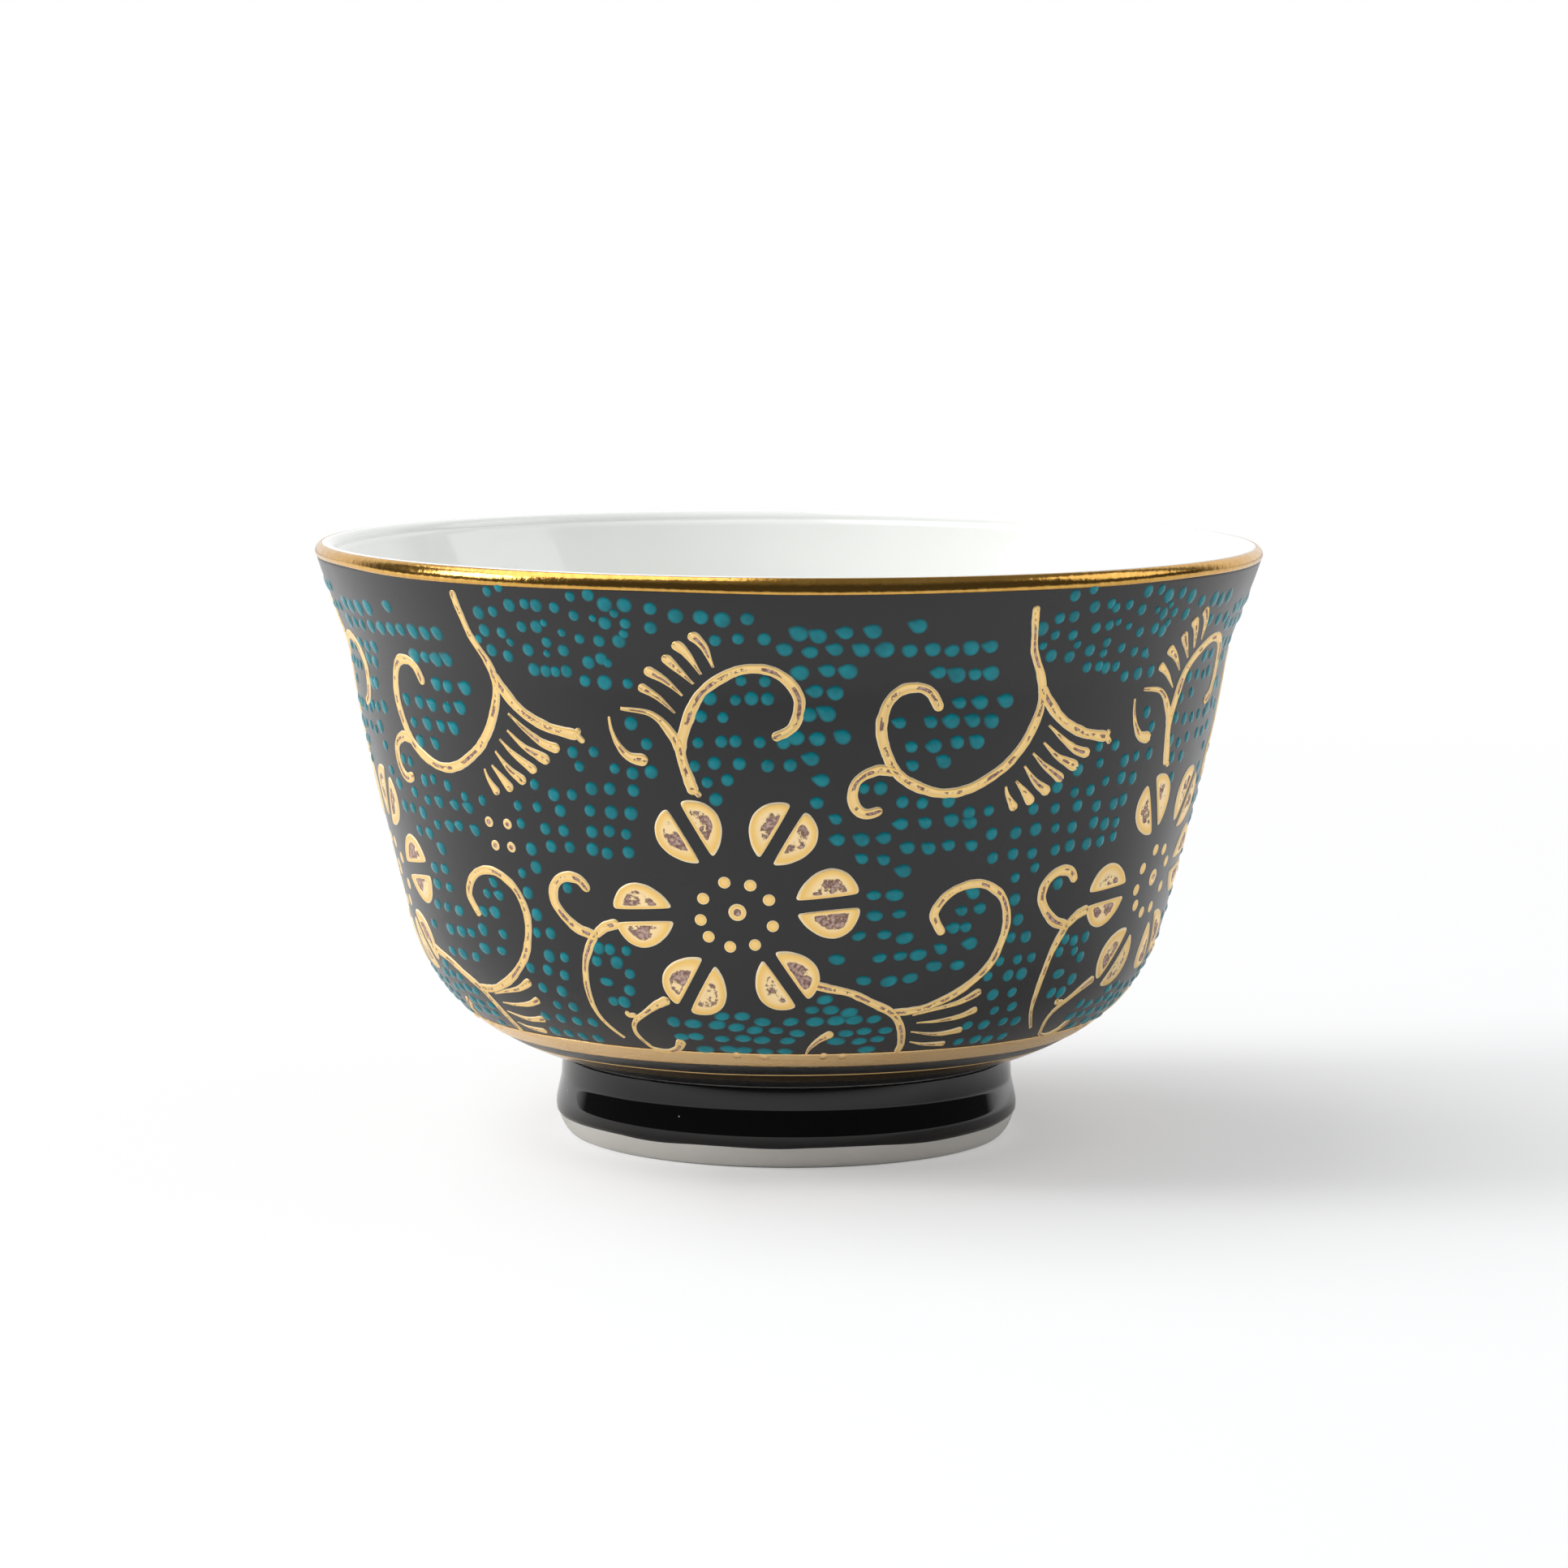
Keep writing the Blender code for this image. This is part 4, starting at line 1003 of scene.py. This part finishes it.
# Where the flower's heart and the field's lower and upper edges were read.
DRAWN_FLOWER = -4.6
DRAWN_LOW, DRAWN_HIGH = 12.0, 57.1
DOT_ROWS = [
    (ROUND, {57: [-23], 56.6: [-24.6, -17, -15.5]}), (BIG, {55.9: [-14.2, -12.6]}),
    (ROUND, {55.4: [-22.6, -21, -20.1, -18.7]}), (SMALL, {55: [-13.6]}),
    (ROUND, {54.6: [-17], 54.4: [-25.8, -24.2]}), (SMALL, {54.6: [-15.1]}), (ROUND, {54: [-14.4, -12.8]}),
    (BIG, {53.6: [-27.1]}), (SMALL, {53.9: [-19.7]}), (ROUND, {53.4: [-21.8, -20.5]}),
    (SMALL, {52.9: [-18.1, -12.9]}), (ROUND, {52.7: [-25.8, -24], 52.4: [-16.6, -15, -13.4]}),
    (SMALL, {51.8: [-26.7, -23.2]}), (ROUND, {51.9: [-20.1], 51.1: [-21.7, -18.3]}),
    (SMALL, {50.8: [-20]}), (ROUND, {50.8: [-25.6], 50.4: [-23.8, -16.5, -15.2]}),
    (SMALL, {50.2: [-14.6]}), (ROUND, {49.2: [-21.7, -20.4, -19.4, -18.5], 48.4: [-16.9, -13.2]}),
    (BIG, {48.4: [-15], 55.5: [-10.6], 54.8: [-8.6, -6.6, -4.9, -3.1]}),
    (ROUND, {53.7: [-10.8], 52.8: [-5.7, -3.9, -1.9]}),
    (TEAR, {53.5: [0.7, 2.3, 4.3, 6.4], 54.1: [10.2],
            51.8: [-0.3, 1.7, 3.6, 5.8, 7.6, 9.6, 11.2, 12.9, 14.5, 16.3]}), (ROUND, {53: [19.7]}),
    (TEAR, {49.7: [1.1, 3, 4.9], 49.4: [12.2, 13.7, 15.2, 16.9]}),
    (ROUND, {48.9: [-5.2, -3.7, -2], 47.2: [-6.3, -4.4, -2.8, -1.4], 45.6: [-7.4, -5.3],
             43.3: [-7.5, -5.5, -4.1, -2.3, -0.2], 41.3: [-7.7, -6, -4, -1.6, 0.3], 39.7: [-6.7, -4.9],
             37.8: [-6], 44.7: [-15, -13], 43: [-11.7], 41.8: [-18.7, -16.8],
             40.4: [-18.3, -15, -13.3, -11.5]}),
    (ROUND, {39.7: [-21], 38.5: [-23, -17.2, -15.3, -13.4], 37.8: [-21, -19],
             36.4: [-23, -20.5, -17.8, -15.6, -14], 34.5: [-22.4, -20.4, -17.7, -16, -14.4],
             32.7: [-22, -20.1, -17.9, -16.3, -14.3]}),
    (TEAR, {48: [2, 3.8], 46: [1.8, 3.3], 43.8: [0.8, 2.6, 4.3], 41.9: [2.1], 39.8: [2.6], 37.8: [2.6],
            46.7: [7.5], 44.5: [7.1], 36.5: [4, 6.1, 7.7]}), (ROUND, {39.2: [6.5, 7.9]}),
    (TEAR, {34.4: [4.3, 6.3, 8.4], 33.5: [10.8, 12.7], 32.4: [6.7, 8.7], 31.3: [10.3],
            46.8: [14.4, 16.1, 18.3], 45: [9.4, 11.7, 13.5, 15.5, 17.3], 43: [10.2, 12.2, 14.3, 16],
            41.4: [10.8, 13.2]}),
    (ROUND, {42.4: [8.6], 37.6: [9.9, 11.6, 14], 36.5: [16, 18.2, 20.5, 22.5]}),
    (TEAR, {35.7: [9.9, 12, 14.3, 16.2]}), (ROUND, {34.5: [18.7, 21, 22.9]}), (TEAR, {33.6: [14.5, 16.7]}),
    (ROUND, {32.3: [19, 21, 23.3], 30.9: [23.6]}),
    (DASH, {29: [7.9, 9.9], 27.2: [8, 10.2], 25.2: [4.9, 6.8, 9, 11.1], 23.1: [4.6, 8.6, 10.8, 12.6],
            20.8: [7.5, 9.9, 12.2]}),
    (TEAR, {28.8: [17.6], 27.3: [16.6, 18.3], 25.7: [15.6, 17.1], 23.7: [14.9, 17.8]}),
    (DASH, {22: [14.3, 16.8]}),
    (ROUND, {30: [21.6], 28: [22.2], 26.1: [22.8], 24.3: [22.3, 24], 22.2: [21.5, 23.5, 25.3],
             20.6: [20.5, 22.9, 24.6], 18.6: [21.6, 23.8], 16.9: [20.3, 22.5, 24.6],
             15.1: [19.9, 22.1, 24.3, 26.3], 13: [19.7, 21.9, 23.7, 25.7], 23.4: [-18.4, -17.2, -15.6],
             22.1: [-18.9, -16.8], 21.2: [-15.6]}), (DASH, {20.1: [-18.1]}),
    (ROUND, {19.3: [-15.9], 18.1: [-18, -16.8], 28.9: [-21, -18.5], 25.2: [-21.2, -19.2]}),
    (DASH, {19: [3.8], 17.8: [2.5, 4.6, 6.5], 17.1: [-6.5, -4.6], 16.6: [-2.3, 0.4, 2.7, 4.9, 6.9, 8.8],
            15.8: [-9.6, -7.2, -5.1], 15.4: [-3.2, -1.1], 15.2: [1.2, 6.2, 8, 10.2],
            14.2: [-11.6, -9.6, -7.1, -4.6]}), (ROUND, {16.1: [-11.7]}),
    (DASH, {14: [-2.6, 0, 5.3, 7.8, 9.8], 12.5: [-9, -6.3, -4.5, -2.5, -0.1, 8.9]}),
]
DOTS = [(kind, across, up) for kind, rows in DOT_ROWS for up, row in rows.items() for across in row]
print("dots:", len(DOTS), "in each repeat")

# %% [markdown]
# A dot is a dome: a ring of points on the paper, and smaller rings above it. A tear is the same dome with
# one side pulled out to the left, and a dash is a dome made wider than it is high. The paper widens
# towards the rim when it is bent round the cup, so each dot is drawn narrower by as much and stays round.
# Tears near the rim grow a little, as they do on the cup.

# %% Draw a dot
DOT_RADIUS = 0.64 * MM
DOT_SIZES = (0.88, 1.18)
DOT_HEIGHT = 0.14 * MM
DOT_SIDES = 18
DOT_SCATTER = 0.12 * MM
RIM_TEAR_GROWTH, GROWTH_POWER = 0.46, 5
TAIL_LENGTH = (0.10, 0.60)
TAIL_SHARPNESS = 8
DOME = [(inward, 1 - (1 - inward) ** 2, inward) for inward in (0.0, 0.10, 0.22, 0.36, 0.52, 0.72, 0.96)]
# How wide and how tall each kind is for its radius, and between which angles it leans, in radians.
STRETCH = {SMALL: (0.74, 0.74), ROUND: (1.0, 1.04), BIG: (1.24, 1.24), TEAR: (1.08, 1.0), DASH: (1.34, 0.92)}
ROUND_LEAN = (-0.35, 0.20)
LEAN = {SMALL: ROUND_LEAN, ROUND: ROUND_LEAN, BIG: ROUND_LEAN, TEAR: (-0.60, 0.0), DASH: (-0.15, 0.30)}


def dot_place(across, up):
    """A dot's place on flat paper, from where it was read off the cup."""
    share = (up - DRAWN_LOW) / (DRAWN_HIGH - DRAWN_LOW)
    return Vector(((across - DRAWN_FLOWER) * MM, share * FIELD_LENGTH))


def drawn_dot(kind, across, up, hand):
    """One dot on flat paper: its outline with any tail, scattered by the painter's hand."""
    middle = dot_place(across, up) + Vector((hand.gauss(0, 1), hand.gauss(0, 1))) * DOT_SCATTER
    radius = DOT_RADIUS * hand.uniform(*DOT_SIZES)
    if kind == TEAR:
        radius *= 1 + RIM_TEAR_GROWTH * (middle.y / FIELD_LENGTH) ** GROWTH_POWER
    narrowing = PATTERN_RADIUS / on_wall(FIELD_START + middle.y, 0.0).x
    wide, tall = STRETCH[kind]
    lean = hand.uniform(*LEAN[kind])
    tail = hand.uniform(*TAIL_LENGTH) if kind == TEAR else 0.0
    outline = []
    for side in range(DOT_SIDES):
        angle = tau * side / DOT_SIDES
        point = Vector((cos(angle) * wide, sin(angle) * tall)) * radius
        point.x -= max(0.0, -cos(angle)) ** TAIL_SHARPNESS * radius * tail
        point = Matrix.Rotation(lean, 2) @ point
        outline.append(middle + Vector((point.x * narrowing, point.y)))
    return ringed(outline, middle, DOME, DOT_HEIGHT)


print("dots: radius", round(DOT_RADIUS / MM, 2), "mm, kinds", ", ".join(STRETCH))

# %% [markdown]
# A dot is left out where gold lies over its place: a map of all the gold points finds the nearest one. A
# few dots stayed under the gold band and show as gilded bumps. Four dots at the left of the first flower
# were splashed with gold from a full brush, so hollow gold discs like the seeds stand there in their
# place.

# %% Fill the ground with dots
GOLD_CLEARANCE = 0.22 * MM
COVERED_DOTS = [(-1.5, -0.9), (3.2, -1.2), (13.3, -1.0), (16.6, -1.2)]
COVERED_HEIGHT = 0.16 * MM
SPLASHED_DOTS = [(18.7, 34.5), (21.0, 34.5), (19.0, 32.3), (21.0, 32.3)]
SPLASH_RADIUS, SPLASH_HOLLOW = 0.54 * MM, 1.3
SPLASHED_TURN = TURNS[-1]
FIRST_HAND = 40
covered = gathered([ringed(circle(paper(spot), DOT_RADIUS, DOT_SIDES), paper(spot), DOME, COVERED_HEIGHT)
                    for spot in COVERED_DOTS])
splash = gathered([seed_disc(dot_place(*spot), SPLASH_RADIUS, SPLASH_HOLLOW) for spot in SPLASHED_DOTS])
wrapped_piece("gold_splashes", splash, SPLASHED_TURN, gilded_petal, HOLLOW_MARK)
repeat_width = tau / REPEATS * PATTERN_RADIUS
gold_map = KDTree(3 * len(gold_points))
for number, point in enumerate(gold_points):
    for side in (-1, 0, 1):
        gold_map.insert((point.x + side * repeat_width, point.y, 0.0), number)
gold_map.balance()
for repeat, turn in enumerate(TURNS):
    hand = random.Random(FIRST_HAND + repeat)
    clear = []
    for kind, across, up in DOTS:
        dot = drawn_dot(kind, across, up, hand)
        splashed = turn == SPLASHED_TURN and (across, up) in SPLASHED_DOTS
        crown_spot = dot[0][-1][0]
        if not splashed and gold_map.find((*crown_spot, 0.0))[2] > GOLD_CLEARANCE:
            clear.append(dot)
    wrapped_piece(f"teal_dots_{repeat + 1}", gathered(clear), turn, teal_enamel, CROWN_MARK)
    wrapped_piece(f"covered_dots_{repeat + 1}", covered, turn, satin_gold, CROWN_MARK)
    print("repeat", repeat + 1, "has", len(clear), "dots")
